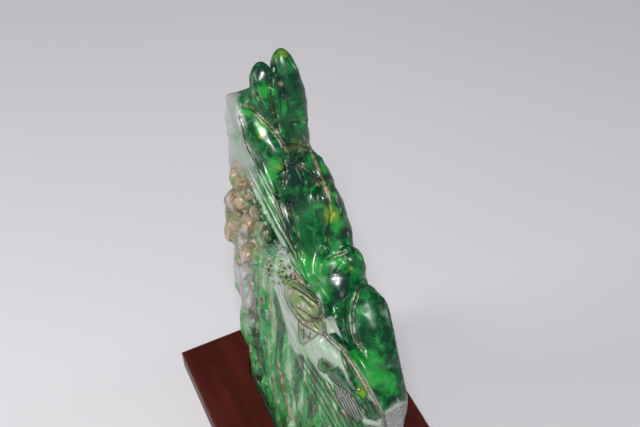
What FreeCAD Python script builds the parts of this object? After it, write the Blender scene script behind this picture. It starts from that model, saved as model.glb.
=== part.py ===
"""Jade mountain carving on its hardwood stand, in millimetres.

The stone is one piece: a thin mountain-shaped slab carved with crags, boulders and relief. It lifts
out of a socket in the top board of a low stand, which is joined from boards, rails, feet and dowels.

Origin: bottom centre of the stand, on the surface that it rests on. +Z is up, +X points to the low
end of the mountain and -Y is the relief side.
"""
import FreeCAD, Part
import Sketcher
import math
import os

Vector = FreeCAD.Vector
Rotation = FreeCAD.Rotation

os.makedirs("parts", exist_ok=True)
doc = FreeCAD.newDocument("JadeMountain")

# Driving sizes in millimetres
SIZES = {
    "stone_length": 108.0,
    "stone_height": 180.0,
    "stone_thickness": 30.0,
    "stone_along": -3.0,
    "stone_across": -2.0,
    "foot_length": 99.0,
    "foot_thickness": 28.0,
    "foot_rise": 14.0,
    "board_length": 140.0,
    "board_width": 82.0,
    "board_thickness": 12.0,
    "board_edge": 0.6,
    "socket_depth": 7.0,
    "socket_gap_along": 4.0,
    "socket_gap_across": 2.5,
    "felt_thickness": 0.8,
    "felt_gap": 0.4,
    "stand_height": 32.0,
    "waist_height": 5.0,
    "waist_inset": 6.0,
    "waist_depth": 12.0,
    "apron_inset": 3.0,
    "apron_depth": 8.0,
    "apron_drop": 8.0,
    "apron_arch": 2.6,
    "leg_width": 20.0,
    "leg_ankle": 8.5,
    "leg_toe": 11.0,
    "leg_recess": 2.2,
    "leg_toe_height": 2.4,
    "pad_thickness": 1.0,
    "pad_inset": 1.5,
    "dowel_diameter": 4.0,
    "dowel_reach": 6.0,
    "dowel_gap": 0.05,
    "batten_width": 14.0,
    "batten_spacing": 62.0,
    "batten_tongue": 2.5,
    "batten_flare": 1.2,
    "batten_gap": 0.05,
    "overrun": 2.0,
}

sheet = doc.addObject("Spreadsheet::Sheet", "Sizes")
for row, (alias, value) in enumerate(SIZES.items(), start=1):
    sheet.set(f"A{row}", alias)
    sheet.set(f"B{row}", str(value))
    sheet.setAlias(f"B{row}", alias)
doc.recompute()

# Heights that several pieces share, written in the sheet's names
BOARD_TOP = "Sizes.stand_height"
BOARD_UNDER = "(Sizes.stand_height - Sizes.board_thickness)"
WAIST_UNDER = f"({BOARD_UNDER} - Sizes.waist_height)"
SOCKET_FLOOR = f"({BOARD_TOP} - Sizes.socket_depth)"
FOOT_LEVEL = f"({SOCKET_FLOOR} + Sizes.felt_thickness)"
LEG_UNDER = "Sizes.pad_thickness"

# How each plane of drawing lies: its turn, and which way its own axes run
PLANES = {
    "top": Rotation(Vector(0, 0, 1), 0),
    "front": Rotation(Vector(1, 0, 0), 90),
    "side": Rotation(Vector(0, 1, 0), Vector(0, 0, 1), Vector(1, 0, 0), "ZXY"),
}


def bind(item, **values):
    """Bind properties of an object to expressions; a double underscore stands for a dot."""
    for key, expression in values.items():
        item.setExpression(key.replace("__", "."), expression)


def draw(sketch, points):
    """Closed outline through points, each an (across, up) pair of expressions."""
    count = len(points)
    for index in range(count):
        angle = 2 * math.pi * index / count
        following = 2 * math.pi * (index + 1) / count
        start = Vector(math.cos(angle), math.sin(angle), 0)
        end = Vector(math.cos(following), math.sin(following), 0)
        sketch.addGeometry(Part.LineSegment(start, end), False)
    for index in range(count):
        sketch.addConstraint(Sketcher.Constraint("Coincident", index, 2, (index + 1) % count, 1))
    for index, (across, up) in enumerate(points):
        for kind, expression in (("DistanceX", across), ("DistanceY", up)):
            number = sketch.addConstraint(Sketcher.Constraint(kind, index, 1, 1.0))
            sketch.setExpression(f"Constraints[{number}]", expression)


def outline(name, plane, points):
    """Free sketch of a closed outline on a plane through the origin."""
    sketch = doc.addObject("Sketcher::SketchObject", name)
    sketch.Placement = FreeCAD.Placement(Vector(), PLANES[plane])
    draw(sketch, points)
    return sketch


def extrusion(name, sketch, ahead, behind):
    """Solid swept from a sketch along its normal by ahead, and the other way by behind."""
    item = doc.addObject("Part::Extrusion", name)
    item.Base = sketch
    item.DirMode = "Normal"
    item.Solid = True
    bind(item, LengthFwd=ahead, LengthRev=behind)
    return item


def box(name, low, size):
    """Box from its low corner and its size, both as expressions."""
    item = doc.addObject("Part::Box", name)
    bind(item, Length=size[0], Width=size[1], Height=size[2])
    bind(item, Placement__Base__x=low[0], Placement__Base__y=low[1], Placement__Base__z=low[2])
    return item


def cylinder(name, diameter, centre, low, height):
    """Upright cylinder on a centre, both as expressions."""
    item = doc.addObject("Part::Cylinder", name)
    bind(item, Radius=f"({diameter}) / 2", Height=height)
    bind(item, Placement__Base__x=centre[0], Placement__Base__y=centre[1], Placement__Base__z=low)
    return item


def joined(kind, name, shapes):
    """MultiFuse or MultiCommon of several shapes, with every face kept as it was cut."""
    item = doc.addObject(kind, name)
    item.Shapes = shapes
    item.Refine = False
    return item


def cut(name, base, tools):
    """Base with one tool, or several joined tools, cut from it."""
    item = doc.addObject("Part::Cut", name)
    item.Base = base
    item.Tool = tools[0] if len(tools) == 1 else joined("Part::MultiFuse", f"{name}_tools", tools)
    return item


# The stone's plan, far end first along the relief side, as shares of its length and thickness
PLAN_SHARES = [
    (-0.52, -0.13), (-0.49, -0.36), (-0.41, -0.47), (-0.16, -0.49), (0.07, -0.45), (0.21, -0.36),
    (0.31, -0.23), (0.38, -0.08), (0.44, 0.06), (0.47, 0.16), (0.45, 0.25), (0.38, 0.33), (0.21, 0.42),
    (-0.06, 0.46), (-0.34, 0.44), (-0.46, 0.33), (-0.51, 0.14),
]

# The stone's front elevation from its far foot upwards, as shares of its length and height
FRONT_SHARES = [
    (-0.465, 0.008), (-0.465, 0.035), (-0.480, 0.12), (-0.465, 0.24), (-0.490, 0.33), (-0.480, 0.41),
    (-0.490, 0.51), (-0.508, 0.58), (-0.495, 0.645), (-0.518, 0.735), (-0.520, 0.80), (-0.505, 0.835),
    (-0.46, 0.86), (-0.40, 0.875), (-0.335, 0.885), (-0.285, 0.845), (-0.24, 0.795), (-0.175, 0.76),
    (-0.10, 0.728), (-0.035, 0.683), (0.02, 0.655), (0.085, 0.628), (0.15, 0.60), (0.215, 0.588),
    (0.28, 0.572), (0.335, 0.54), (0.375, 0.50), (0.38, 0.467), (0.345, 0.42), (0.365, 0.355),
    (0.39, 0.29), (0.38, 0.22), (0.36, 0.165), (0.39, 0.09), (0.41, 0.035), (0.42, 0.008),
]

# The stone's end elevation, up the relief side and down the back, as shares of thickness and height
END_SHARES = [
    (-0.48, 0.008), (-0.50, 0.045), (-0.45, 0.33), (-0.40, 0.55), (-0.37, 0.72), (-0.35, 0.83),
    (-0.32, 0.92), (0.15, 0.92), (0.24, 0.83), (0.32, 0.72), (0.42, 0.55), (0.46, 0.33),
    (0.50, 0.045), (0.47, 0.008),
]

# Hewn rocks that swell out of the slab. Each row is the centre along, across and up as shares of the
# stone's length, thickness and height, three half sizes as shares of its thickness (along the rock,
# square to that in the slab's plane, and across the slab), and its tilt and turn in plan in degrees.
# Those named root fill the stone behind their neighbours, so that it has no accidental holes.
PEAK_SHARES = {
    "peak_tall": (-0.282, 0.08, 0.900, 0.61, 0.17, 0.158, -17, 0),
    "peak_low": (-0.287, -0.162, 0.924, 0.38, 0.15, 0.145, -19, 0),
    "ridge_far": (-0.300, -0.25, 0.888, 0.28, 0.11, 0.11, -35, 0),
    "lobe_high": (-0.258, -0.27, 0.865, 0.44, 0.16, 0.17, -55, 15),
    "lobe_low": (-0.213, -0.25, 0.811, 0.33, 0.15, 0.13, -49, 0),
    "peak_root": (-0.290, -0.08, 0.860, 0.50, 0.24, 0.24, -30, 0),
    "lobe_root": (-0.222, -0.13, 0.795, 0.42, 0.20, 0.20, -48, 0),
}
SLOPE_SHARES = {
    "boulder_high": (-0.165, 0.033, 0.702, 0.62, 0.32, 0.32, -33, 0),
    "shoulder_high": (-0.190, 0.20, 0.752, 0.33, 0.20, 0.18, -50, 0),
    "shoulder_mid": (-0.092, 0.205, 0.720, 0.42, 0.20, 0.17, -33, 0),
    "knuckle": (0.042, 0.21, 0.652, 0.28, 0.17, 0.17, -18, 0),
    "saddle": (0.042, 0.067, 0.633, 0.40, 0.22, 0.23, -48, 0),
    "flank_high": (0.056, -0.183, 0.617, 0.42, 0.17, 0.13, -58, 0),
    "nub": (0.112, 0.27, 0.632, 0.12, 0.08, 0.08, 61, 0),
    "boulder_low": (0.225, 0.165, 0.608, 0.52, 0.27, 0.25, -42, 0),
    "flank_low": (0.259, -0.017, 0.564, 0.47, 0.20, 0.20, -71, 0),
    "corner": (0.365, 0.08, 0.505, 0.36, 0.20, 0.18, -19, 0),
    "near_high": (0.355, 0.08, 0.43, 0.44, 0.25, 0.17, -4, 0),
    "near_mid": (0.36, 0.10, 0.333, 0.47, 0.23, 0.22, 6, 0),
    "near_waist": (0.375, 0.09, 0.25, 0.35, 0.20, 0.20, 15, 0),
    "near_low": (0.36, 0.10, 0.165, 0.43, 0.27, 0.26, -8, 0),
    "near_foot": (0.385, 0.13, 0.069, 0.27, 0.26, 0.22, 0, 0),
    "shoulder_root": (-0.150, 0.12, 0.708, 0.45, 0.22, 0.22, -38, 0),
    "saddle_root": (0.125, 0.10, 0.598, 0.50, 0.24, 0.24, -60, 0),
    "corner_root": (0.315, -0.04, 0.535, 0.60, 0.24, 0.20, -66, 12),
}
RELIEF_SHARES = {
    "cloud": (-0.056, -0.40, 0.656, 0.17, 0.10, 0.10, 90, 0),
    "scroll_high": (0.021, -0.367, 0.617, 0.30, 0.15, 0.12, 71, 0),
    "scroll_low": (0.092, -0.333, 0.593, 0.28, 0.13, 0.12, 78, 0),
    "cap": (0.075, -0.385, 0.645, 0.27, 0.15, 0.09, 70, 0),
    "branch": (0.301, -0.20, 0.570, 0.50, 0.09, 0.085, -64, 15),
    "leaf": (0.305, -0.20, 0.575, 0.30, 0.12, 0.11, -50, 15),
    "wing": (0.296, -0.205, 0.502, 0.47, 0.18, 0.14, 84, 16),
    "column_far": (-0.343, -0.433, 0.278, 0.87, 0.15, 0.12, 4, 0),
    "column_near": (-0.176, -0.45, 0.322, 1.00, 0.13, 0.11, -6, 0),
    "fall": (-0.046, -0.433, 0.278, 1.13, 0.17, 0.10, 0, 0),
    "crag_mid": (0.102, -0.367, 0.344, 0.50, 0.27, 0.17, -15, 0),
    "crag_near": (0.231, -0.30, 0.278, 0.57, 0.27, 0.20, 10, 0),
    "stone_far_low": (-0.269, -0.433, 0.094, 0.47, 0.27, 0.13, 88, 0),
    "stone_mid_low": (0.046, -0.417, 0.111, 0.40, 0.27, 0.15, 80, 0),
    "stone_near_low": (0.278, -0.233, 0.10, 0.40, 0.30, 0.18, 75, 18),
}
BACK_SHARES = {
    "back_crag": (-0.306, 0.20, 0.745, 0.67, 0.27, 0.13, -12, 0),
    "back_ridge": (-0.157, 0.29, 0.583, 0.80, 0.30, 0.14, -35, 0),
    "back_mid": (0.129, 0.30, 0.467, 0.73, 0.33, 0.13, -45, 0),
    "back_far": (-0.361, 0.35, 0.444, 0.87, 0.27, 0.13, 5, 0),
    "back_low_far": (-0.25, 0.417, 0.167, 0.60, 0.37, 0.13, 80, 0),
    "back_low_near": (0.102, 0.40, 0.233, 0.67, 0.40, 0.12, 65, 0),
    "back_near": (0.29, 0.30, 0.322, 0.47, 0.27, 0.13, 20, 0),
    "back_high_far": (-0.42, 0.25, 0.62, 0.60, 0.22, 0.13, 10, 0),
    "back_shoulder": (0.02, 0.25, 0.60, 0.50, 0.22, 0.15, -55, 0),
    "back_centre": (-0.065, 0.33, 0.44, 0.55, 0.25, 0.15, -15, 0),
    "back_rim": (0.27, 0.25, 0.47, 0.50, 0.22, 0.17, -50, 0),
    "back_waist": (-0.20, 0.38, 0.32, 0.60, 0.27, 0.13, 60, 0),
    "back_foot_mid": (-0.06, 0.42, 0.12, 0.45, 0.30, 0.11, -10, 0),
    "back_foot_near": (0.26, 0.36, 0.13, 0.50, 0.30, 0.13, 20, 0),
}

# Fruit-like knobs in clusters on the relief side: centre along, across and up, radius and tilt
KNOB_SHARES = [
    (-0.387, -0.36, 0.690, 0.16, 10), (-0.411, -0.39, 0.615, 0.17, 40), (-0.327, -0.36, 0.700, 0.14, -25),
    (-0.465, -0.39, 0.495, 0.17, 15), (-0.314, -0.39, 0.605, 0.16, -50), (-0.378, -0.38, 0.512, 0.17, 65),
    (-0.222, -0.38, 0.700, 0.13, 30), (-0.153, -0.39, 0.678, 0.12, -10), (-0.300, -0.41, 0.528, 0.15, 55),
    (-0.350, -0.365, 0.655, 0.15, 20), (-0.437, -0.39, 0.555, 0.15, -30),
]


def stone_place(along, across, up):
    """Place on the stone from shares of its length, thickness and height, as expressions."""
    return (
        f"Sizes.stone_along + Sizes.stone_length * ({along})",
        f"Sizes.stone_across + Sizes.stone_thickness * ({across})",
        f"{BOARD_TOP} + Sizes.stone_height * ({up})",
    )


# How far a rock's outlines are swept past its half sizes, so that no sweep's end shows
ROCK_OVERRUN = 1.2

# Outline of a rock in each of its own views, as shares of its half sizes, uneven as hewn stone is
ROCK_SHARES = [
    (0.93, 0.08), (0.76, 0.57), (0.28, 0.94), (-0.15, 0.98), (-0.64, 0.67), (-0.93, 0.11),
    (-0.81, -0.52), (-0.29, -0.95), (0.23, -0.97), (0.73, -0.56),
]


def rock(name, shares):
    """One hewn rock: three outlines swept through one another, kept where all three overlap."""
    along, across, up, long_share, high_share, deep_share, tilt, turn = shares
    high = f"Sizes.stone_thickness * {high_share}"
    deep = f"Sizes.stone_thickness * {deep_share}"
    long = f"Sizes.stone_thickness * {long_share}"
    lie = Rotation(Vector(0, 0, 1), turn).multiply(Rotation(Vector(0, 1, 0), tilt))
    x, y, z = stone_place(along, across, up)
    views = [("top", high, deep, long), ("front", high, long, deep), ("side", deep, long, high)]
    sweeps = []
    for plane, first, second, run in views:
        points = [(f"({first}) * ({a})", f"({second}) * ({b})") for a, b in ROCK_SHARES]
        sketch = outline(f"{name}_{plane}_outline", plane, points)
        sketch.Placement = FreeCAD.Placement(Vector(), lie.multiply(PLANES[plane]))
        bind(sketch, Placement__Base__x=x, Placement__Base__y=y, Placement__Base__z=z)
        reach = f"({run}) * {ROCK_OVERRUN}"
        sweeps.append(extrusion(f"{name}_{plane}", sketch, reach, reach))
    return joined("Part::MultiCommon", name, sweeps)


def plan_points(length, thickness):
    """The stone's plan at a given length and thickness, as expressions."""
    return [
        (f"Sizes.stone_along + ({length}) * ({along})", f"Sizes.stone_across + ({thickness}) * ({across})")
        for along, across in PLAN_SHARES
    ]


def jade_mountain():
    """One stone: a slab cut to its plan and two elevations, with rocks and knobs swelling from it."""
    front_points = []
    for along, up in FRONT_SHARES:
        x, y, z = stone_place(along, 0, up)
        front_points.append((x, z))
    end_points = []
    for across, up in END_SHARES:
        x, y, z = stone_place(0, across, up)
        end_points.append((y, z))
    plan = outline("stone_plan", "top", plan_points("Sizes.stone_length", "Sizes.stone_thickness"))
    front = outline("stone_front", "front", front_points)
    end = outline("stone_end", "side", end_points)
    reach = f"{BOARD_TOP} + Sizes.stone_height"
    slab = joined("Part::MultiCommon", "slab", [
        extrusion("slab_plan", plan, reach, "0"),
        extrusion("slab_front", front, "Sizes.stone_thickness", "Sizes.stone_thickness"),
        extrusion("slab_end", end, "Sizes.stone_length", "Sizes.stone_length"),
    ])
    foot_plan = outline("foot_plan", "top", plan_points("Sizes.foot_length", "Sizes.foot_thickness"))
    foot = extrusion("stone_foot", foot_plan, "Sizes.foot_rise + Sizes.socket_depth", "0")
    bind(foot_plan, Placement__Base__z=FOOT_LEVEL)
    rocks = []
    for group in (PEAK_SHARES, SLOPE_SHARES, RELIEF_SHARES, BACK_SHARES):
        rocks += [rock(name, shares) for name, shares in group.items()]
    for index, (along, across, up, radius, tilt) in enumerate(KNOB_SHARES, start=1):
        rocks.append(rock(f"knob_{index}", (along, across, up, radius, radius, radius, tilt, tilt)))
    return joined("Part::MultiFuse", "jade_mountain", [slab, foot] + rocks)


def body_sketch(body, name, role, points):
    """Sketch on one of a body's own origin planes."""
    sketch = body.newObject("Sketcher::SketchObject", name)
    plane = next(item for item in body.Origin.OriginFeatures if item.Role == role)
    sketch.AttachmentSupport = (plane, [""])
    sketch.MapMode = "FlatFace"
    draw(sketch, points)
    return sketch


def rectangle(low_x, low_y, high_x, high_y):
    """Corner points of a rectangle, as expressions."""
    return [(low_x, low_y), (high_x, low_y), (high_x, high_y), (low_x, high_y)]


def dowel_centre(side_x, side_y):
    """Centre of the dowel over one leg, in the middle of the waist rail's depth."""
    inset = "Sizes.waist_inset - Sizes.waist_depth / 2"
    return (
        f"({side_x}) * (Sizes.board_length / 2 - {inset})",
        f"({side_y}) * (Sizes.board_width / 2 - {inset})",
    )


CORNERS = {"front_left": (-1, -1), "front_right": (1, -1), "back_left": (-1, 1), "back_right": (1, 1)}


def dowel_holes(name):
    """Holes for the four dowels, a running gap wider than the dowels."""
    holes = []
    for corner, (side_x, side_y) in CORNERS.items():
        low = f"{WAIST_UNDER} - Sizes.dowel_reach - Sizes.dowel_gap"
        height = "Sizes.waist_height + 2 * Sizes.dowel_reach + 2 * Sizes.dowel_gap"
        diameter = "Sizes.dowel_diameter + 2 * Sizes.dowel_gap"
        holes.append(cylinder(f"{name}_{corner}", diameter, dowel_centre(side_x, side_y), low, height))
    return holes


def batten_points(gap):
    """End profile of a batten: a rail with a flared tongue that holds in the board's groove."""
    half = "Sizes.batten_width / 2"
    neck = f"{half} - Sizes.batten_flare + {gap}"
    return [
        (f"-({half})", WAIST_UNDER), (half, WAIST_UNDER), (half, BOARD_UNDER), (neck, BOARD_UNDER),
        (f"{half} + {gap}", f"{BOARD_UNDER} + Sizes.batten_tongue + {gap}"),
        (f"-({half} + {gap})", f"{BOARD_UNDER} + Sizes.batten_tongue + {gap}"),
        (f"-({neck})", BOARD_UNDER), (f"-({half})", BOARD_UNDER),
    ]


def batten_extrusion(name, side, gap):
    """Batten, or the space for one, running across the board between the waist rails."""
    sketch = outline(f"{name}_profile", "front", batten_points(gap))
    bind(sketch, Placement__Base__x=f"({side}) * Sizes.batten_spacing / 2")
    run = f"Sizes.board_width / 2 - Sizes.waist_inset - Sizes.waist_depth + {gap}"
    return extrusion(name, sketch, run, run)


def top_board():
    """Flat board with crisp edges, a fitted blind socket above and two dovetail grooves below."""
    body = doc.addObject("PartDesign::Body", "board_body")
    half_length, half_width = "Sizes.board_length / 2", "Sizes.board_width / 2"
    corners = rectangle(f"-({half_length})", f"-({half_width})", half_length, half_width)
    plate_sketch = body_sketch(body, "board_outline", "XY_Plane", corners)
    bind(plate_sketch, AttachmentOffset__Base__z=BOARD_UNDER)
    plate = body.newObject("PartDesign::Pad", "board_plate")
    plate.Profile = plate_sketch
    bind(plate, Length="Sizes.board_thickness")
    doc.recompute()
    edge_names = []
    for index, edge in enumerate(plate.Shape.Edges, start=1):
        bounds = edge.BoundBox
        if bounds.ZMin > sheet.stand_height - sheet.board_edge:
            edge_names.append(f"Edge{index}")
    edge_break = body.newObject("PartDesign::Chamfer", "board_edge_break")
    edge_break.Base = (plate, edge_names)
    bind(edge_break, Size="Sizes.board_edge")
    gap_along, gap_across = "2 * Sizes.socket_gap_along", "2 * Sizes.socket_gap_across"
    socket_points = plan_points(f"Sizes.foot_length + {gap_along}", f"Sizes.foot_thickness + {gap_across}")
    socket_sketch = body_sketch(body, "socket_outline", "XY_Plane", socket_points)
    bind(socket_sketch, AttachmentOffset__Base__z=SOCKET_FLOOR)
    socket = body.newObject("PartDesign::Pocket", "socket")
    socket.Profile = socket_sketch
    socket.Reversed = True
    bind(socket, Length="Sizes.socket_depth + Sizes.overrun")
    body.Tip = socket
    doc.recompute()
    grooves = [
        batten_extrusion("groove_left", -1, "Sizes.batten_gap"),
        batten_extrusion("groove_right", 1, "Sizes.batten_gap"),
    ]
    return cut("top_board", body, grooves + dowel_holes("board_hole"))


def socket_felt():
    """Thin felt sheet on the socket's floor, under the stone's foot."""
    spare_along = "2 * Sizes.socket_gap_along - 2 * Sizes.felt_gap"
    spare_across = "2 * Sizes.socket_gap_across - 2 * Sizes.felt_gap"
    points = plan_points(f"Sizes.foot_length + {spare_along}", f"Sizes.foot_thickness + {spare_across}")
    sketch = outline("felt_outline", "top", points)
    bind(sketch, Placement__Base__z=SOCKET_FLOOR)
    return extrusion("socket_felt", sketch, "Sizes.felt_thickness", "0")


def waist_rail(name, low, size, holes):
    """Recessed rail between the board and the legs, with holes where dowels pass."""
    rail = box(f"{name}_blank" if holes else name, low, size)
    return cut(name, rail, holes) if holes else rail


def long_waist(name, side):
    """Waist rail along the front or back, the full length between the board's end insets."""
    run = "Sizes.board_length - 2 * Sizes.waist_inset"
    outer = "Sizes.board_width / 2 - Sizes.waist_inset"
    low_y = f"-({outer})" if side < 0 else f"{outer} - Sizes.waist_depth"
    low = (f"-({run}) / 2", low_y, WAIST_UNDER)
    size = (run, "Sizes.waist_depth", "Sizes.waist_height")
    return waist_rail(name, low, size, dowel_holes(f"{name}_hole"))


def end_waist(name, side):
    """Waist rail across one end, between the two long rails."""
    run = "Sizes.board_width - 2 * Sizes.waist_inset - 2 * Sizes.waist_depth"
    outer = "Sizes.board_length / 2 - Sizes.waist_inset"
    low_x = f"-({outer})" if side < 0 else f"{outer} - Sizes.waist_depth"
    low = (low_x, f"-({run}) / 2", WAIST_UNDER)
    return waist_rail(name, low, ("Sizes.waist_depth", run, "Sizes.waist_height"), [])


# Lower edge of an apron from its end to its middle: shares of its half run, and of its arch
APRON_EDGE_SHARES = [(1.0, 0.0), (0.86, 0.0), (0.80, 0.55), (0.70, 0.62), (0.62, 1.0), (0.0, 1.0)]


def apron_points(half_run):
    """Front of an apron: straight top, lower edge stepped up in a shallow arch."""
    low = f"{WAIST_UNDER} - Sizes.apron_drop"
    right = [
        (f"({half_run}) * {run_share}", f"{low} + Sizes.apron_arch * {arch_share}")
        for run_share, arch_share in APRON_EDGE_SHARES
    ]
    left = [(f"-({across})", up) for across, up in reversed(right[:-1])]
    top = [(f"-({half_run})", WAIST_UNDER), (half_run, WAIST_UNDER)]
    return top[1:] + right[:-1] + left + top[:1]


def long_apron(name, side):
    """Apron along the front or back, between two legs."""
    half_run = "Sizes.board_length / 2 - Sizes.apron_inset - Sizes.leg_width"
    sketch = outline(f"{name}_outline", "front", apron_points(half_run))
    outer = f"({side}) * (Sizes.board_width / 2 - Sizes.apron_inset)"
    bind(sketch, Placement__Base__y=outer)
    ahead, behind = ("0", "Sizes.apron_depth") if side < 0 else ("Sizes.apron_depth", "0")
    return extrusion(name, sketch, ahead, behind)


def end_apron(name, side):
    """Apron across one end, between two legs."""
    half_run = "Sizes.board_width / 2 - Sizes.apron_inset - Sizes.leg_width"
    sketch = outline(f"{name}_outline", "side", apron_points(half_run))
    outer = f"({side}) * (Sizes.board_length / 2 - Sizes.apron_inset)"
    bind(sketch, Placement__Base__x=outer)
    ahead, behind = ("Sizes.apron_depth", "0") if side < 0 else ("0", "Sizes.apron_depth")
    return extrusion(name, sketch, ahead, behind)


def leg_points(outer, side):
    """Profile of a leg: upright outside, drawn in at the ankle and out again to a toe."""
    ankle_level = f"{LEG_UNDER} + 2 * Sizes.leg_toe_height"
    shoulder_level = f"{WAIST_UNDER} - Sizes.apron_drop"
    inward = [
        ("0", WAIST_UNDER), ("0", f"{WAIST_UNDER} - Sizes.apron_drop / 2"),
        ("Sizes.leg_recess", ankle_level), ("Sizes.leg_recess / 2", f"{LEG_UNDER} + Sizes.leg_toe_height"),
        ("0", LEG_UNDER), ("Sizes.leg_toe", LEG_UNDER),
        ("Sizes.leg_toe", f"{LEG_UNDER} + Sizes.leg_toe_height"),
        ("Sizes.leg_recess + Sizes.leg_ankle", ankle_level),
        ("Sizes.leg_width", shoulder_level), ("Sizes.leg_width", WAIST_UNDER),
    ]
    return [(f"({side}) * ({outer} - ({step}))", level) for step, level in inward]


def leg(name, side_x, side_y):
    """Short leg shaped alike on both faces, bored for its dowel."""
    outer_x = "Sizes.board_length / 2 - Sizes.apron_inset"
    outer_y = "Sizes.board_width / 2 - Sizes.apron_inset"
    front = outline(f"{name}_front_outline", "front", leg_points(outer_x, side_x))
    side = outline(f"{name}_side_outline", "side", leg_points(outer_y, side_y))
    shaped = joined("Part::MultiCommon", f"{name}_shaped", [
        extrusion(f"{name}_front", front, "Sizes.board_width", "Sizes.board_width"),
        extrusion(f"{name}_side", side, "Sizes.board_length", "Sizes.board_length"),
    ])
    return cut(name, shaped, dowel_holes(f"{name}_hole"))


def foot_pad(name, side_x, side_y):
    """Felt pad under one leg's toe."""
    size = "Sizes.leg_toe - 2 * Sizes.pad_inset"
    outer_x = "Sizes.board_length / 2 - Sizes.apron_inset - Sizes.pad_inset"
    outer_y = "Sizes.board_width / 2 - Sizes.apron_inset - Sizes.pad_inset"
    low_x = f"-({outer_x})" if side_x < 0 else f"{outer_x} - ({size})"
    low_y = f"-({outer_y})" if side_y < 0 else f"{outer_y} - ({size})"
    return box(name, (low_x, low_y, "0"), (size, size, "Sizes.pad_thickness"))


def leg_dowels():
    """Four dowels that pin the legs through the long waist rails into the board."""
    dowels = []
    for corner, (side_x, side_y) in CORNERS.items():
        low = f"{WAIST_UNDER} - Sizes.dowel_reach"
        height = "Sizes.waist_height + 2 * Sizes.dowel_reach"
        centre = dowel_centre(side_x, side_y)
        dowels.append(cylinder(f"dowel_{corner}", "Sizes.dowel_diameter", centre, low, height))
    group = doc.addObject("Part::Compound", "leg_dowels")
    group.Links = dowels
    return group


nodes = {
    "jade_mountain": jade_mountain(),
    "top_board": top_board(),
    "socket_felt": socket_felt(),
    "front_waist_rail": long_waist("front_waist_rail", -1),
    "back_waist_rail": long_waist("back_waist_rail", 1),
    "left_waist_rail": end_waist("left_waist_rail", -1),
    "right_waist_rail": end_waist("right_waist_rail", 1),
    "front_apron": long_apron("front_apron", -1),
    "back_apron": long_apron("back_apron", 1),
    "left_apron": end_apron("left_apron", -1),
    "right_apron": end_apron("right_apron", 1),
    "left_batten": batten_extrusion("left_batten", -1, "0"),
    "right_batten": batten_extrusion("right_batten", 1, "0"),
    "leg_dowels": leg_dowels(),
}
for corner, (side_x, side_y) in CORNERS.items():
    nodes[f"{corner}_leg"] = leg(f"{corner}_leg", side_x, side_y)
    nodes[f"{corner}_pad"] = foot_pad(f"{corner}_pad", side_x, side_y)

for name, item in nodes.items():
    item.Label = name
doc.recompute()

for item in doc.Objects:
    if "Invalid" in item.State or "Error" in item.State:
        raise RuntimeError(f"{item.Label} did not build: {item.State}")
for name, item in nodes.items():
    shape = item.Shape
    if shape.isNull() or not shape.isValid():
        raise RuntimeError(f"{name} has no valid shape")
    print(f"{name}: {len(shape.Solids)} solid(s), {shape.Volume:.1f} mm3")
for name, item in nodes.items():
    item.Shape.exportStep(f"parts/{name}.step")
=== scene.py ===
import math

import bpy
import numpy as np
from mathutils import Matrix, Vector
from mathutils.bvhtree import BVHTree


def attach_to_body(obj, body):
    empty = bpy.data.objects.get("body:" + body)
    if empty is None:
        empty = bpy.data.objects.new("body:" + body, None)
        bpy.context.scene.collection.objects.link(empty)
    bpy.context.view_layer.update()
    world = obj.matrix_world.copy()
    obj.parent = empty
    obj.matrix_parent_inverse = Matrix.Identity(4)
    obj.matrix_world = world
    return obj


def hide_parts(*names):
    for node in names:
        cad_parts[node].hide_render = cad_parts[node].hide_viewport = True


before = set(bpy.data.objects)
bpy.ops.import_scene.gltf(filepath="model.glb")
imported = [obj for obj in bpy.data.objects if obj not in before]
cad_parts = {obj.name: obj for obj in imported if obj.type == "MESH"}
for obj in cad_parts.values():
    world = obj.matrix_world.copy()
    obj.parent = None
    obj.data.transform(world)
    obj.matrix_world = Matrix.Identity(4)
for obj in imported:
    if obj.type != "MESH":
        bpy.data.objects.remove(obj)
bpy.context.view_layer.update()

MM = 0.001

# Camera
# It stands above the low end of the mountain and looks down its slope, so the thin stone is seen
# almost end on, with the relief side at the left and the green rockwork at the right.
camera_data = bpy.data.cameras.new("camera")
camera_data.lens = 50
camera_data.sensor_width = 36
camera_data.clip_start = 0.01
camera = bpy.data.objects.new("camera", camera_data)
bpy.context.scene.collection.objects.link(camera)
camera.location = (0.1545, -0.0801, 0.3740)
camera.rotation_euler = (math.radians(41.5), 0, math.radians(64.2))
bpy.context.scene.camera = camera

# The same view as plain directions, for the photograph's frame
PHOTO_WIDE, PHOTO_HIGH = 640, 427
LENS_PIXELS = PHOTO_WIDE * camera_data.lens / camera_data.sensor_width
lens_place = np.array(camera.location)
turn = camera.rotation_euler.to_matrix()
view_right, view_down, view_ahead = (
    np.array(turn @ Vector(way)) for way in ((1, 0, 0), (0, -1, 0), (0, 0, -1)))


def pixels_of(places):
    """Pixels across and down at which places in the frame are seen, a row for each place."""
    away = places - lens_place
    ahead = away @ view_ahead
    return np.column_stack((PHOTO_WIDE / 2 + LENS_PIXELS * (away @ view_right) / ahead,
                            PHOTO_HIGH / 2 + LENS_PIXELS * (away @ view_down) / ahead))


def sight_line(across, down):
    """Direction from the lens through a pixel."""
    way = view_ahead + view_right * (across - PHOTO_WIDE / 2) / LENS_PIXELS
    way = way + view_down * (down - PHOTO_HIGH / 2) / LENS_PIXELS
    return Vector(way / np.linalg.norm(way))


# Jade mountain
# One slab of jadeite, sawn to a mountain's outline, ground into boulders and crevices with rotating
# tools, then polished with fine grit until the rounded forms shine and only the cuts stay dull.
def only(obj):
    """Selects one object, and nothing else."""
    bpy.ops.object.select_all(action="DESELECT")
    obj.select_set(True)
    bpy.context.view_layer.objects.active = obj


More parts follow.
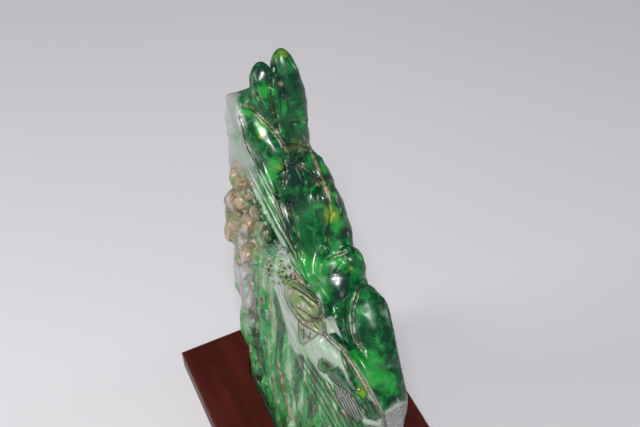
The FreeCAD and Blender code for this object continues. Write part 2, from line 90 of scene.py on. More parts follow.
def finish_with(obj, kind, **settings):
    """Adds a modifier with its settings and applies it."""
    only(obj)
    modifier = obj.modifiers.new(kind.lower(), kind)
    for key, value in settings.items():
        setattr(modifier, key, value)
    bpy.ops.object.modifier_apply(modifier=modifier.name)


def ball(subdivisions):
    """A sphere of unit radius with even faces, to be scaled into a lump of stone."""
    bpy.ops.object.select_all(action="DESELECT")
    bpy.ops.mesh.primitive_ico_sphere_add(subdivisions=subdivisions, radius=1)
    return bpy.context.object


def copy_of(node, name):
    """A copy of a CAD node's mesh, its loose triangles merged, as an object of its own."""
    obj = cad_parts[node].copy()
    obj.data = obj.data.copy()
    obj.name = obj.data.name = name
    obj.parent = None
    for key in list(obj.keys()):
        del obj[key]
    bpy.context.scene.collection.objects.link(obj)
    only(obj)
    bpy.ops.object.mode_set(mode="EDIT")
    bpy.ops.mesh.select_all(action="SELECT")
    bpy.ops.mesh.remove_doubles(threshold=0.00001)
    bpy.ops.object.mode_set(mode="OBJECT")
    return obj


def joined(name, pieces):
    """Several objects as one, at the origin."""
    bpy.ops.object.select_all(action="DESELECT")
    for piece in pieces:
        piece.select_set(True)
    bpy.context.view_layer.objects.active = pieces[0]
    bpy.ops.object.join()
    obj = bpy.context.view_layer.objects.active
    obj.name = obj.data.name = name
    bpy.ops.object.transform_apply(location=True, rotation=True, scale=True)
    return obj


# Rounded boulders over the hewn ones: along, across and up as shares of the slab, half sizes in mm
# along the boulder, square to it in the slab's plane and across, tilt and turn
SLAB_START, SLAB_SIZES = (-3, -2, 32), (108, 30, 180)
BOULDERS = [
    (-0.282, 0.08, 0.900, 17.8, 5.3, 4.8, -17, 0), (-0.287, -0.162, 0.924, 11.4, 4.5, 4.4, -19, 0),
    (-0.300, -0.25, 0.888, 8.4, 3.3, 3.3, -35, 0), (-0.258, -0.27, 0.865, 13.4, 4.9, 5.2, -55, 15),
    (-0.213, -0.25, 0.811, 10.0, 4.5, 4.0, -49, 0), (-0.270, 0.05, 0.835, 9.0, 6.6, 6.4, -20, 0),
    (-0.165, 0.033, 0.702, 18.8, 9.8, 9.8, -33, 0), (-0.190, 0.20, 0.752, 10.0, 6.0, 5.4, -50, 0),
    (-0.092, 0.205, 0.720, 12.6, 6.0, 5.2, -33, 0), (-0.098, 0.200, 0.714, 17.0, 5.4, 5.5, -52, 0),
    (0.042, 0.21, 0.652, 8.6, 5.2, 5.2, -18, 0), (0.042, 0.067, 0.633, 12.6, 6.8, 7.2, -48, 0),
    (0.056, -0.183, 0.617, 12.6, 5.1, 4.0, -58, 0), (0.112, 0.27, 0.632, 3.4, 2.4, 2.4, 61, 0),
    (0.225, 0.165, 0.608, 15.6, 8.2, 7.6, -42, 0), (0.275, 0.120, 0.560, 18.5, 7.6, 7.8, -46, 0),
    (0.259, -0.017, 0.564, 14.5, 6.2, 6.4, -68, 0), (0.362, 0.08, 0.500, 11.5, 6.2, 5.4, -19, 0),
    (0.36, 0.10, 0.333, 14.1, 6.9, 6.6, 6, 0), (0.36, 0.10, 0.165, 12.9, 8.1, 7.8, -8, 0),
    (0.130, 0.07, 0.590, 14.0, 6.6, 7.4, -58, 0), (-0.306, 0.20, 0.745, 20.1, 8.1, 3.9, -12, 0),
    (-0.157, 0.29, 0.583, 24.0, 9.0, 4.2, -35, 0), (0.129, 0.30, 0.467, 21.9, 9.9, 3.9, -45, 0),
    (-0.361, 0.35, 0.444, 26.1, 8.1, 3.9, 5, 0), (-0.25, 0.417, 0.167, 18.0, 11.1, 3.9, 80, 0),
    (0.102, 0.40, 0.233, 20.1, 12.0, 3.6, 65, 0), (0.29, 0.30, 0.322, 14.1, 8.1, 3.9, 20, 0),
    (-0.42, 0.25, 0.62, 18.0, 6.6, 3.9, 10, 0), (0.02, 0.25, 0.60, 15.0, 6.6, 4.5, -55, 0),
    (-0.065, 0.33, 0.44, 16.5, 7.5, 4.5, -15, 0), (0.27, 0.25, 0.47, 15.0, 6.6, 5.1, -50, 0),
    (-0.20, 0.38, 0.32, 18.0, 8.1, 3.9, 60, 0), (-0.06, 0.42, 0.12, 13.5, 9.0, 3.3, -10, 0),
    (0.26, 0.36, 0.13, 15.0, 9.0, 3.9, 20, 0), (0.355, 0.08, 0.43, 13.2, 7.5, 5.1, -4, 0),
    (-0.435, -0.40, 0.54, 16.0, 6.5, 3.8, 4, 0), (-0.415, -0.41, 0.36, 20.0, 7.0, 3.8, -3, 0),
    (-0.43, -0.40, 0.17, 17.0, 7.0, 3.6, 3, 0),
]
stone = copy_of("jade_mountain", "mountain_stone")
lumps = [stone]
for along, across, up, long, high, deep, tilt, turned in BOULDERS:
    lump = ball(5)
    lump.scale = (high * MM, deep * MM, long * MM)
    lump.rotation_euler = (0, math.radians(tilt), math.radians(turned))
    lump.location = [(start + size * share) * MM
                     for start, size, share in zip(SLAB_START, SLAB_SIZES, (along, across, up))]
    lumps.append(lump)
stone = joined("mountain_stone", lumps)
FINE_GRIT, QUICK_GRIT = 0.00042, 0.0008
grit = FINE_GRIT
finish_with(stone, "REMESH", mode="VOXEL", voxel_size=grit)
finish_with(stone, "SMOOTH", factor=0.5, iterations=int(26 * (FINE_GRIT / grit) ** 2) + 2)
swell = bpy.data.textures.new("swell", "CLOUDS")
swell.noise_scale = 0.009
swell.noise_depth = 2
finish_with(stone, "DISPLACE", texture=swell, texture_coords="LOCAL", strength=0.0016, mid_level=0.30)


def places_and_normals(obj):
    """The points of a mesh and their normals, as arrays."""
    count = len(obj.data.vertices)
    places, normals = np.empty(count * 3), np.empty(count * 3)
    obj.data.vertices.foreach_get("co", places)
    obj.data.vertex_normals.foreach_get("vector", normals)
    return places.reshape(-1, 3), normals.reshape(-1, 3)


def set_places(obj, places):
    """Moves the points of a mesh."""
    obj.data.vertices.foreach_set("co", places.ravel())
    obj.data.update()


def tree_of(obj):
    """Search tree of a mesh, for rays and nearest points."""
    bpy.context.view_layer.update()
    return BVHTree.FromObject(obj, bpy.context.evaluated_depsgraph_get())


def seen_by_lens(obj, places, normals):
    """Which points face the camera with nothing of the stone in between."""
    toward = lens_place - places
    toward /= np.linalg.norm(toward, axis=1)[:, None]
    seen = (normals * toward).sum(1) > 0.02
    tree = tree_of(obj)
    for index in np.flatnonzero(seen):
        start = Vector(places[index] + normals[index] * 0.0004 + toward[index] * 0.0003)
        if tree.ray_cast(start, Vector(toward[index]), 0.5)[0] is not None:
            seen[index] = False
    return seen


def rounded(points, times=2):
    """A line's corners cut back, as a hand-led tool rounds them."""
    points = [np.array(point, float) for point in points]
    for _ in range(times):
        softer = [points[0]]
        for first, second in zip(points, points[1:]):
            softer += [first * 0.75 + second * 0.25, first * 0.25 + second * 0.75]
        points = softer + [points[-1]]
    return points


def from_line(flat, points, taper=0.0):
    """Distance of flat places from a line, and how far a cut has faded towards the line's ends."""
    nearest = np.full(len(flat), 1e9)
    fade = np.ones(len(flat))
    steps = [np.linalg.norm(b - a) for a, b in zip(points, points[1:])]
    total, run = sum(steps), 0.0
    for first, second, step in zip(points, points[1:], steps):
        along = np.clip(((flat - first) @ (second - first)) / max(step * step, 1e-12), 0, 1)
        distance = np.linalg.norm(flat - first - along[:, None] * (second - first), axis=1)
        closer = distance < nearest
        nearest[closer] = distance[closer]
        if taper:
            done = (run + along[closer] * step) / total
            fade[closer] = np.clip(np.minimum(done, 1 - done) / taper, 0, 1) ** 0.7
        run += step
    return nearest, fade


def inside_of(flat, corners):
    """How far flat places lie inside a closed outline: positive within, negative outside."""
    corners = [np.array(corner, float) for corner in corners]
    within = np.zeros(len(flat), bool)
    for first, second in zip(corners, corners[1:] + corners[:1]):
        spans = (first[1] > flat[:, 1]) != (second[1] > flat[:, 1])
        if first[1] != second[1]:
            cross = (second[0] - first[0]) * (flat[:, 1] - first[1]) / (second[1] - first[1]) + first[0]
            within ^= spans & (flat[:, 0] < cross)
    away, _ = from_line(flat, corners + corners[:1])
    return np.where(within, away, -away)


def ramp(value, low, high):
    """Smooth rise of an array from nothing to one between two values."""
    part = np.clip((value - low) / (high - low), 0, 1)
    return part * part * (3 - 2 * part)


# Crevices seen in the photograph, in its pixels: width of the cut, its depth in mm, and its course
SLOPE_CUTS = [
    (2.2, 2.2, [(271, 60), (273, 73), (271, 83), (270, 93), (273, 104), (276, 117), (277, 126), (282, 140)]),
    (1.3, 0.7, [(275, 74), (278, 80), (281, 86), (283, 94), (288, 106), (292, 112)]),
    (1.5, 0.9, [(252, 77), (256, 88), (261, 100), (265, 110)]), (1.3, 0.7, [(249, 83), (254, 95), (261, 105)]),
    (1.9, 1.7, [
        (241, 107), (248, 105), (257, 114), (264, 121), (272, 129), (279, 138), (284, 147), (287, 158),
    ]),
    (1.7, 1.2, [(281, 144), (290, 145), (300, 147), (311, 150)]),
    (1.6, 1.2, [(289, 160), (298, 156), (306, 153), (312, 152)]),
    (1.7, 1.3, [
        (287, 164), (291, 163), (298, 163), (306, 168), (315, 177), (322, 188), (326, 193), (328, 203),
        (330, 216), (328, 229), (327, 243), (324, 253), (321, 263),
    ]),
    (1.2, 0.8, [(326, 192), (330, 186), (333, 184)]), (1.3, 0.9, [(330, 216), (334, 211), (338, 208)]),
    (1.1, 0.6, [(315, 163), (315, 169), (318, 175), (321, 180)]),
    (1.4, 0.9, [(310, 118), (304, 121), (297, 124), (290, 123)]),
    (2.3, 2.2, [(280, 154), (285, 164), (286, 177), (283, 191)]),
    (2.4, 1.9, [
        (273, 180), (277, 193), (279, 207), (285, 224), (289, 239), (296, 254), (302, 268), (307, 283),
    ]),
    (1.8, 1.2, [(287, 196), (291, 210), (294, 222), (299, 246), (303, 262)]),
    (1.8, 1.5, [(348, 250), (343, 253), (333, 256), (327, 260)]),
    (1.3, 0.8, [(343, 254), (348, 266), (351, 278)]), (1.2, 0.7, [(335, 274), (338, 267), (341, 262)]),
    (2.3, 2.3, [
        (365, 279), (359, 289), (355, 299), (352, 309), (352, 321), (353, 332), (357, 342), (363, 349),
        (368, 359),
    ]),
    (1.3, 0.8, [(336, 307), (346, 311), (351, 314)]), (1.2, 0.5, [(334, 314), (341, 318)]),
    (1.0, 0.35, [(254, 148), (264, 166)]), (1.0, 0.35, [(257, 147), (266, 161)]),
    (1.0, 0.3, [(251, 150), (259, 164)]),
    (2.0, 1.5, [(240, 103), (239, 115), (243, 130), (245, 143), (251, 156), (261, 170)]),
    (1.6, 1.3, [(384, 408), (384, 418), (386, 430)]),
    (1.4, 0.9, [
        (318, 300), (321, 308), (323, 318), (331, 320), (336, 329), (343, 341), (351, 355), (362, 373),
        (372, 388), (384, 411),
    ]),
    (1.4, 0.8, [(362, 283), (369, 287), (377, 289)]),
]
# Flowing lines of falling water between the rim and the fruit, in the same pixels
WATER_CUTS = [
    [(245, 160), (251, 175), (258, 187), (269, 207), (279, 226), (288, 241), (298, 259), (306, 277)],
    [(244, 165), (249, 178), (256, 190), (266, 210), (276, 229), (285, 244), (294, 261), (302, 277)],
    [(246, 174), (254, 190), (262, 206), (272, 225), (281, 241), (289, 256), (296, 268)],
    [(252, 162), (262, 181), (272, 201), (282, 220), (291, 238)],
    [(258, 166), (266, 182), (275, 200), (283, 216)],
    [(246, 182), (252, 196), (259, 212), (267, 226), (274, 240), (280, 252)],
    [(262, 160), (268, 175), (274, 190)],
]
# Seams of the back, then the long folds that run down the relief side: width of the cut, its depth
# in mm, and its course along and up in mm, on that face of the slab
BACK_CUTS = [
    (1.1, 1.6, [(-50, 175), (-38, 160), (-33, 142), (-18, 130), (-12, 112)]),
    (1.0, 1.4, [(-12, 152), (-20, 140), (-18, 130), (2, 118), (8, 98), (22, 86)]),
    (1.0, 1.4, [(-55, 120), (-42, 112), (-30, 96), (-34, 80), (-22, 62), (-26, 45)]),
    (0.9, 1.2, [(26, 130), (22, 112), (30, 96), (22, 86), (27, 66), (20, 48)]),
    (0.9, 1.1, [(-12, 112), (-24, 98), (-30, 96)]), (0.8, 0.9, [(8, 98), (-4, 84), (-8, 66), (-2, 50)]),
    (0.8, 0.9, [(-46, 190), (-40, 178), (-30, 172), (-24, 162)]), (0.7, 0.8, [(-54, 88), (-44, 84), (-34, 80)]),
    (0.7, 0.8, [(34, 78), (27, 66), (14, 60), (6, 50)]),
]
FRONT_CUTS = [
    (1.4, 1.6, [(-50, 112), (-47, 96), (-50, 80), (-46, 62), (-48, 44)]),
    (1.4, 1.8, [(-43, 110), (-41, 92), (-44, 74), (-38, 58), (-40, 40)]),
    (1.2, 1.6, [(-35, 104), (-32, 88), (-35, 72), (-30, 56), (-33, 40)]),
    (1.4, 1.9, [(-27, 110), (-26, 92), (-22, 76), (-25, 60), (-20, 42)]),
    (1.0, 1.3, [(-18, 120), (-17, 100), (-13, 82), (-16, 64), (-12, 46)]),
    (1.2, 1.6, [(-9, 118), (-9, 100), (-5, 84), (-8, 66), (-3, 44)]),
    (1.2, 1.4, [(0, 112), (3, 94), (0, 78), (5, 62), (4, 42)]),
    (1.4, 1.8, [(10, 104), (9, 90), (14, 76), (12, 60), (16, 42)]),
    (1.2, 1.6, [(20, 98), (22, 84), (19, 70), (25, 56), (24, 42)]),
    (1.0, 1.3, [(30, 92), (29, 78), (33, 64), (30, 50)]),
]


def cut_depths(obj, places, normals, seen):
    """Depth of the carving at each point in mm, then masks of the cuts' dark colour (dark skin and painted
    shade), their lips and the water.
    """
    depth, grime_and_shade, lips, water = (np.zeros(len(places)) for _ in range(4))
    where = np.flatnonzero(seen)
    flat = pixels_of(places[where])

    def press(rows, nearest, fade, width, deep, lip, soil_and_shade=1.0):
        """One cut: its groove, the low ridges beside it, the dark colour in it for dark skin and painted shade,
        and the pale skin on its lips.
        """
        groove = np.exp(-(nearest / width) ** 2) * fade
        ridge = np.exp(-((nearest - 2.1 * width) / width) ** 2) * fade
        depth[rows] = np.maximum(depth[rows], deep * groove) - lip * deep * ridge
        # Near-black in the groove: dark skin in the cut, and painted shade.
        dark = np.exp(-(nearest / (0.68 * width)) ** 2) * fade * min(1, 0.45 + deep / 2)
        grime_and_shade[rows] = np.maximum(grime_and_shade[rows], soil_and_shade * dark)
        edge = np.exp(-((nearest - 1.3 * width) / (0.38 * width)) ** 2) * fade * min(1, 0.3 + deep / 2)
        lips[rows] = np.maximum(lips[rows], soil_and_shade * edge)

    # The slope's cuts come out finer than their rows say, and those of the back and front broader
    for width, deep, course in SLOPE_CUTS:
        near, fade = from_line(flat, rounded(course), 0.12)
        press(where, near, fade, 0.70 * width, 0.85 * deep, 0.02)
    for course in WATER_CUTS:
        near, fade = from_line(flat, rounded(course), 0.2)
        water[where] = np.maximum(water[where], np.exp(-near ** 2) * fade)
        depth[where] = np.maximum(depth[where], 0.75 * np.exp(-(near / 1.2) ** 2) * fade)
    for side, cuts in ((1, BACK_CUTS), (-1, FRONT_CUTS)):
        rows = np.flatnonzero(normals[:, 1] * side > 0.15)
        level = places[rows][:, [0, 2]] / MM
        for width, deep, course in cuts:
            near, fade = from_line(level, rounded(course), 0.12)
            press(rows, near, fade, 1.3 * width, deep, 0.10, 0.5)
    return depth, grime_and_shade, lips, water


# The near edge is ground back to the line that it shows in the photograph, rows of (down, across).
# Then the crevices are cut, down to the board, and the foot is left flat to stand in its socket.
NEAR_EDGE = [
    (270, 400), (288, 378.5), (296, 383), (304, 387.5), (312, 390), (320, 391.5), (332, 394), (348, 397),
    (364, 400.5), (380, 404), (396, 407.5), (404, 407.5), (412, 406.5), (420, 404), (436, 402), (470, 412),
    (500, 430), (560, 480),
]
places, normals = places_and_normals(stone)
across, down = pixels_of(places).T
MOST_GROUND, GROUND_SHARE = 30, 0.92
BOARD_TOP, FOOT_LOW, FACE_LIMIT = 33, 25.8, 190000
over = np.clip(across - np.interp(down, *zip(*NEAR_EDGE)), 0, MOST_GROUND)
over *= GROUND_SHARE * ((places - lens_place) @ view_ahead) / LENS_PIXELS
set_places(stone, places - over[:, None] * view_right)
finish_with(stone, "SMOOTH", factor=0.5, iterations=2)
places, normals = places_and_normals(stone)
seen = seen_by_lens(stone, places, normals)
depth = cut_depths(stone, places, normals, seen)[0]
depth *= np.clip((places[:, 2] / MM - BOARD_TOP) / 5, 0, 1)
set_places(stone, places - normals * (depth * MM)[:, None])
finish_with(stone, "SMOOTH", factor=0.5, iterations=2)
places, normals = places_and_normals(stone)
places[:, 2] = np.maximum(places[:, 2], FOOT_LOW * MM)
set_places(stone, places)
face_count = sum(len(face.vertices) - 2 for face in stone.data.polygons)
if face_count > FACE_LIMIT:
    finish_with(stone, "DECIMATE", ratio=FACE_LIMIT / face_count)
stone_tree = tree_of(stone)
for face in stone.data.polygons:
    face.use_smooth = True

# Where the stone's colours lie, in the photograph's pixels: place, spread and strength
NIGHT_SPOTS = [
    (285, 92, 9, 0.8), (280, 78, 6, 0.7), (262, 72, 8, 0.9), (296, 165, 8, 0.9), (293, 180, 8, 0.8),
    (290, 205, 8, 0.9), (288, 225, 7, 0.9), (305, 240, 9, 0.5), (340, 282, 9, 1.0), (341, 295, 7, 0.8),
    (384, 322, 14, 0.5), (305, 205, 9, 0.5), (283, 140, 5, 0.6), (296, 75, 7, 0.7), (303, 100, 8, 0.5),
    (306, 135, 8, 0.5), (344, 232, 7, 0.8),
]
GOLD_SPOTS = [
    (283, 54, 6, 0.8), (274, 56, 4, 0.6), (261, 136, 4, 1.0), (259, 124, 6, 0.6), (276, 167, 5, 0.6),
    (331, 215, 9, 1.0), (320, 202, 5, 0.5), (351, 268, 3, 0.9), (354, 299, 4, 0.5), (380, 306, 5, 0.6),
    (364, 391, 8, 0.95), (282, 168, 3, 0.7), (367, 386, 6, 0.5), (296, 140, 9, 0.5), (289, 150, 6, 0.6),
    (304, 148, 6, 0.5), (333, 200, 5, 0.5),
]
RUSSET_SPOTS = [
    (296, 142, 9, 0.45), (288, 150, 6, 0.5), (303, 150, 7, 0.4), (281, 84, 3, 1.0), (246, 106, 4, 0.7),
    (300, 166, 5, 0.7), (318, 182, 5, 0.6), (328, 192, 4, 0.8), (288, 214, 4, 0.6), (236, 205, 14, 1.0),
    (232, 232, 13, 1.0), (238, 250, 9, 0.8), (227, 198, 9, 1.0), (243, 262, 7, 0.6), (256, 280, 5, 0.6),
    (252, 318, 5, 0.5), (240, 182, 11, 0.9), (236, 165, 7, 0.8), (250, 225, 11, 0.9), (254, 246, 9, 0.8),
    (248, 262, 8, 0.5), (290, 292, 5, 0.6), (316, 306, 4, 0.5), (310, 322, 7, 0.5), (365, 383, 4, 0.8),
    (378, 405, 4, 0.6), (292, 276, 5, 0.7), (262, 300, 9, 0.4), (285, 405, 10, 0.4),
]
BRIGHT_SPOTS = [
    (262, 182, 7, 0.8), (270, 200, 7, 0.8), (278, 220, 7, 0.7), (265, 90, 7, 0.9), (247, 112, 7, 0.8),
    (262, 128, 8, 0.9), (274, 166, 8, 0.9), (271, 178, 6, 0.7), (303, 264, 12, 0.8), (316, 268, 12, 0.7),
    (338, 228, 8, 0.9), (333, 212, 8, 0.8), (342, 264, 9, 0.8), (322, 292, 12, 0.6), (368, 374, 14, 0.8),
    (384, 378, 12, 0.4), (276, 92, 5, 0.6), (283, 115, 6, 0.5), (325, 168, 8, 0.6), (331, 200, 6, 0.6),
    (335, 345, 8, 0.5), (300, 262, 8, 0.6), (374, 352, 14, 0.55), (361, 394, 7, 1.0), (348, 374, 6, 0.4),
    (352, 358, 8, 0.7), (367, 381, 8, 0.7), (306, 268, 8, 0.6), (392, 386, 10, 0.6),
]
PALE_SPOTS = [
    (241, 270, 15, 1.0), (243, 298, 14, 1.0), (248, 324, 10, 0.8), (333, 264, 8, 0.45), (331, 222, 9, 0.35),
    (228, 96, 11, 1.0), (281, 257, 7, 0.9), (272, 268, 8, 0.7), (228, 120, 16, 1.0), (232, 150, 12, 0.9),
    (240, 160, 10, 0.8), (252, 180, 6, 0.5), (286, 240, 6, 0.4), (296, 262, 5, 0.4), (291, 316, 8, 0.8),
    (296, 342, 8, 0.8), (335, 350, 10, 0.8), (330, 366, 10, 0.6), (395, 420, 12, 1.0), (402, 410, 8, 1.0),
    (330, 322, 6, 0.9), (250, 98, 6, 0.3), (342, 295, 5, 0.4), (340, 385, 8, 0.5),
]

# Russet skin left along the deep crevices: half width in pixels, strength and course
RUSSET_VEINS = [
    (1.5, 0.95, [(242, 104), (250, 105), (262, 117), (274, 130), (283, 142), (288, 156)]),
    (2.0, 0.85, [(300, 130), (307, 142), (315, 160), (323, 180), (329, 198), (331, 220)]),
    (1.0, 0.75, [(285, 160), (287, 174), (284, 190)]),
    (1.1, 0.70, [(366, 279), (358, 294), (353, 310), (353, 330), (361, 347)]),
    (1.1, 0.70, [(312, 150), (300, 148), (287, 144)]), (1.0, 0.60, [(248, 80), (254, 92), (261, 108)]),
    (0.9, 0.60, [(274, 96), (276, 112), (279, 132)]), (1.0, 0.60, [(350, 250), (340, 254), (328, 262)]),
    (2.4, 0.80, [(261, 262), (267, 285), (272, 310), (275, 338)]),
    (2.2, 0.80, [(279, 366), (285, 392), (292, 426)]),
    (1.8, 0.80, [(247, 264), (252, 288), (256, 314), (258, 344)]),
    (1.3, 0.80, [(238, 262), (241, 280), (243, 300), (247, 322)]),
    (1.6, 0.60, [(268, 350), (272, 380), (277, 412)]),
]
# The pale foot of the near end, a painted highlight along its edge, and the patches of lavender grey
PALE_HEEL = [
    (379, 416), (385, 412), (392, 408), (399, 404), (406, 401), (420, 396), (440, 470), (384, 470), (382, 440),
    (381, 425),
]
GLINT_LINE = [(384, 307), (393, 323), (399, 340), (402.5, 362), (405.5, 382), (407, 398)]
LAVENDER_SPOTS = [
    (222, 96, 6, 0.9), (224, 112, 7, 0.9), (226, 130, 8, 0.8), (230, 150, 8, 0.7), (334, 328, 8, 0.8),
    (241, 276, 12, 0.9), (245, 302, 9, 0.7),
]
# Painted shade in the gaps between the fruits
FRUIT_GAP_SHADE = [
    (236, 190, 9, 0.6), (240, 212, 11, 0.75), (244, 232, 10, 0.75), (250, 252, 8, 0.6), (232, 172, 6, 0.5),
]


def wash(flat, spots):
    """Soft patches of colour that run into one another."""
    left = np.ones(len(flat))
    for across, down, spread, strength in spots:
        away = ((flat - (across, down)) ** 2).sum(1)
        left *= 1 - strength * np.exp(-away / (1.3 * spread ** 2))
    return 1 - left


# The crest of the slab from its far top corner down to the near foot, along and up in mm
CREST = [
    (-62, 186), (-52, 190), (-40, 208), (-30, 200), (-22, 172), (-4, 158), (14, 146), (28, 138), (38, 122),
    (48, 96),
]


def store(obj, name, red, green, blue):
    """Three soft masks on a mesh's points, under one name, for its material to read."""
    values = np.ones((len(obj.data.vertices), 4), np.float32)
    for column, mask in enumerate((red, green, blue)):
        values[:, column] = np.clip(mask, 0, 1)
    layer = obj.data.color_attributes.new(name, "FLOAT_COLOR", "POINT")
    layer.data.foreach_set("color", values.ravel())


def colour_stone(obj, cut_and_shade_mask=0.0, lip_and_glint_mask=0.0, water_mask=0.0, russet=0.0, green=0.0, pale=0.0,
                 golden=0.0, streaks=1.0, fibres=0.0, grey=0.0):
    """Lays the stone's colours on a piece: green near the crest, pale below, russet on the fruit."""
    places, normals = places_and_normals(obj)
    flat = pixels_of(places)
    toward = lens_place - places
    facing = (normals * toward).sum(1) / np.linalg.norm(toward, axis=1)
    shown, nearly_shown = (np.clip(facing / 0.12 + margin, 0, 1) for margin in (0.35, 0.9))
    below = np.interp(places[:, 0] / MM, *zip(*CREST)) - places[:, 2] / MM
    emerald = np.clip(1.25 - below / 42, 0, 1)
    emerald = np.maximum(emerald, 0.75 * np.clip(normals[:, 2] + 0.2, 0, 1) * np.clip(1.6 - below / 60, 0, 1))
    light = wash(flat, PALE_SPOTS) * nearly_shown
    heel = ramp(inside_of(flat, PALE_HEEL), -1.0, 1.5) * np.clip(facing / 0.08 + 0.5, 0, 1)
    light = np.maximum(light, heel)
    emerald = np.clip(emerald * (1 - light) + green, 0, 1) * (1 - pale)
    night = wash(flat, NIGHT_SPOTS) * shown
    gold = np.clip(wash(flat, GOLD_SPOTS) * shown + golden, 0, 1)
    bright = wash(flat, BRIGHT_SPOTS) * shown
    rust = np.clip(wash(flat, RUSSET_SPOTS) * nearly_shown + russet, 0, 1)
    for width, strength, course in RUSSET_VEINS:
        near, fade = from_line(flat, rounded(course), 0.1)
        rust = np.maximum(rust, strength * shown * fade * np.exp(-(near / width) ** 2))
    store(obj, "tone", emerald, night, bright)
    blank = np.zeros(len(places))
    # A thin painted highlight along the near edge, laid on with the pale lip colour.
    glint_away, fade = from_line(flat, rounded(GLINT_LINE), 0.1)
    lip_and_glint_mask = np.maximum(blank + lip_and_glint_mask, 0.8 * np.exp(-(glint_away / 0.7) ** 2) * fade * shown)
    water_mask = (blank + water_mask) * (1 - heel)
    store(obj, "skin", np.maximum(blank + cut_and_shade_mask, 0.60 * heel), rust, gold)
    streaked = np.clip(0.15 - normals[:, 1], 0, 1) * np.clip(below / 30 - 0.9, 0, 1)
    store(obj, "mark", streaked * (1 - light) * streaks + fibres, lip_and_glint_mask, water_mask)
    store(obj, "veil", np.maximum(np.maximum(wash(flat, LAVENDER_SPOTS), heel), grey), blank, blank)


places, normals = places_and_normals(stone)
seen = seen_by_lens(stone, places, normals)
_, grime_and_shade, lips, water = cut_depths(stone, places, normals, seen)
# The painted shade between the fruits is laid on with the cuts' near-black.
colour_stone(stone, np.maximum(grime_and_shade, 0.62 * wash(pixels_of(places), FRUIT_GAP_SHADE) * seen), lips, water)


class Link:
    """A socket of a material's nodes. Sums, differences and products of it add Math nodes."""

    def __init__(self, tree, socket=None):
        self.tree, self.socket = tree, socket

    def node(self, kind, settings=None, inputs=None, output=0):
        """Adds a node: its settings first, then the values or links of its sockets."""
        made = self.tree.nodes.new(kind)
        for key, value in (settings or {}).items():
            setattr(made, key, value)
        for key, value in (inputs or {}).items():
            if isinstance(value, Link):
                self.tree.links.new(value.socket, made.inputs[key])
            else:
                made.inputs[key].default_value = value
        return Link(self.tree, made.outputs[output])

    def maths(self, operation, other):
        return self.node("ShaderNodeMath", {"operation": operation}, {0: self, 1: other})

    def __add__(self, other):
        return self.maths("ADD", other)

    def __sub__(self, other):
        return self.maths("SUBTRACT", other)

    def __mul__(self, other):
        return self.maths("MULTIPLY", other)

    __radd__, __rmul__ = __add__, __mul__


def step(link, low, high):
    """Smooth rise of a mask from nothing to one between two values."""
    return link.node("ShaderNodeMapRange", {"interpolation_type": "SMOOTHSTEP"},
                     {"Value": link, "From Min": low, "From Max": high})


def blend_colours(mask, first, second):
    """Second colour over the first where the mask is."""
    first, second = (colour if isinstance(colour, Link) else (*colour, 1) for colour in (first, second))
    return mask.node("ShaderNodeMix", {"data_type": "RGBA"}, {0: mask, 6: first, 7: second}, output=2)


def mottle(place, scale, detail, roughness, distortion=0.0):
    """Cloudy noise over a place, with scale in spots per metre."""
    return place.node("ShaderNodeTexNoise", {}, {
        "Vector": place, "Scale": scale, "Detail": detail, "Roughness": roughness, "Distortion": distortion})


def new_finish(name):
    """An empty material, its shader node and the place on the object."""
    material = bpy.data.materials.new(name)
    material.use_nodes = True
    tree = material.node_tree
    shader = next(node for node in tree.nodes if node.type == "BSDF_PRINCIPLED")
    place = Link(tree).node("ShaderNodeTexCoord", output=3)
    return material, shader, place


def attach(shader, **links):
    """Joins masks and colours to the shader's sockets; an underscore stands for a space."""
    tree = shader.id_data
    for key, link in links.items():
        tree.links.new(link.socket, shader.inputs[key.replace("_", " ")])


def bump(height, distance, strength):
    """Fine relief from a mask: its greatest height in metres, and how strongly it shows."""
    return height.node("ShaderNodeBump", {}, {"Height": height, "Distance": distance, "Strength": strength})


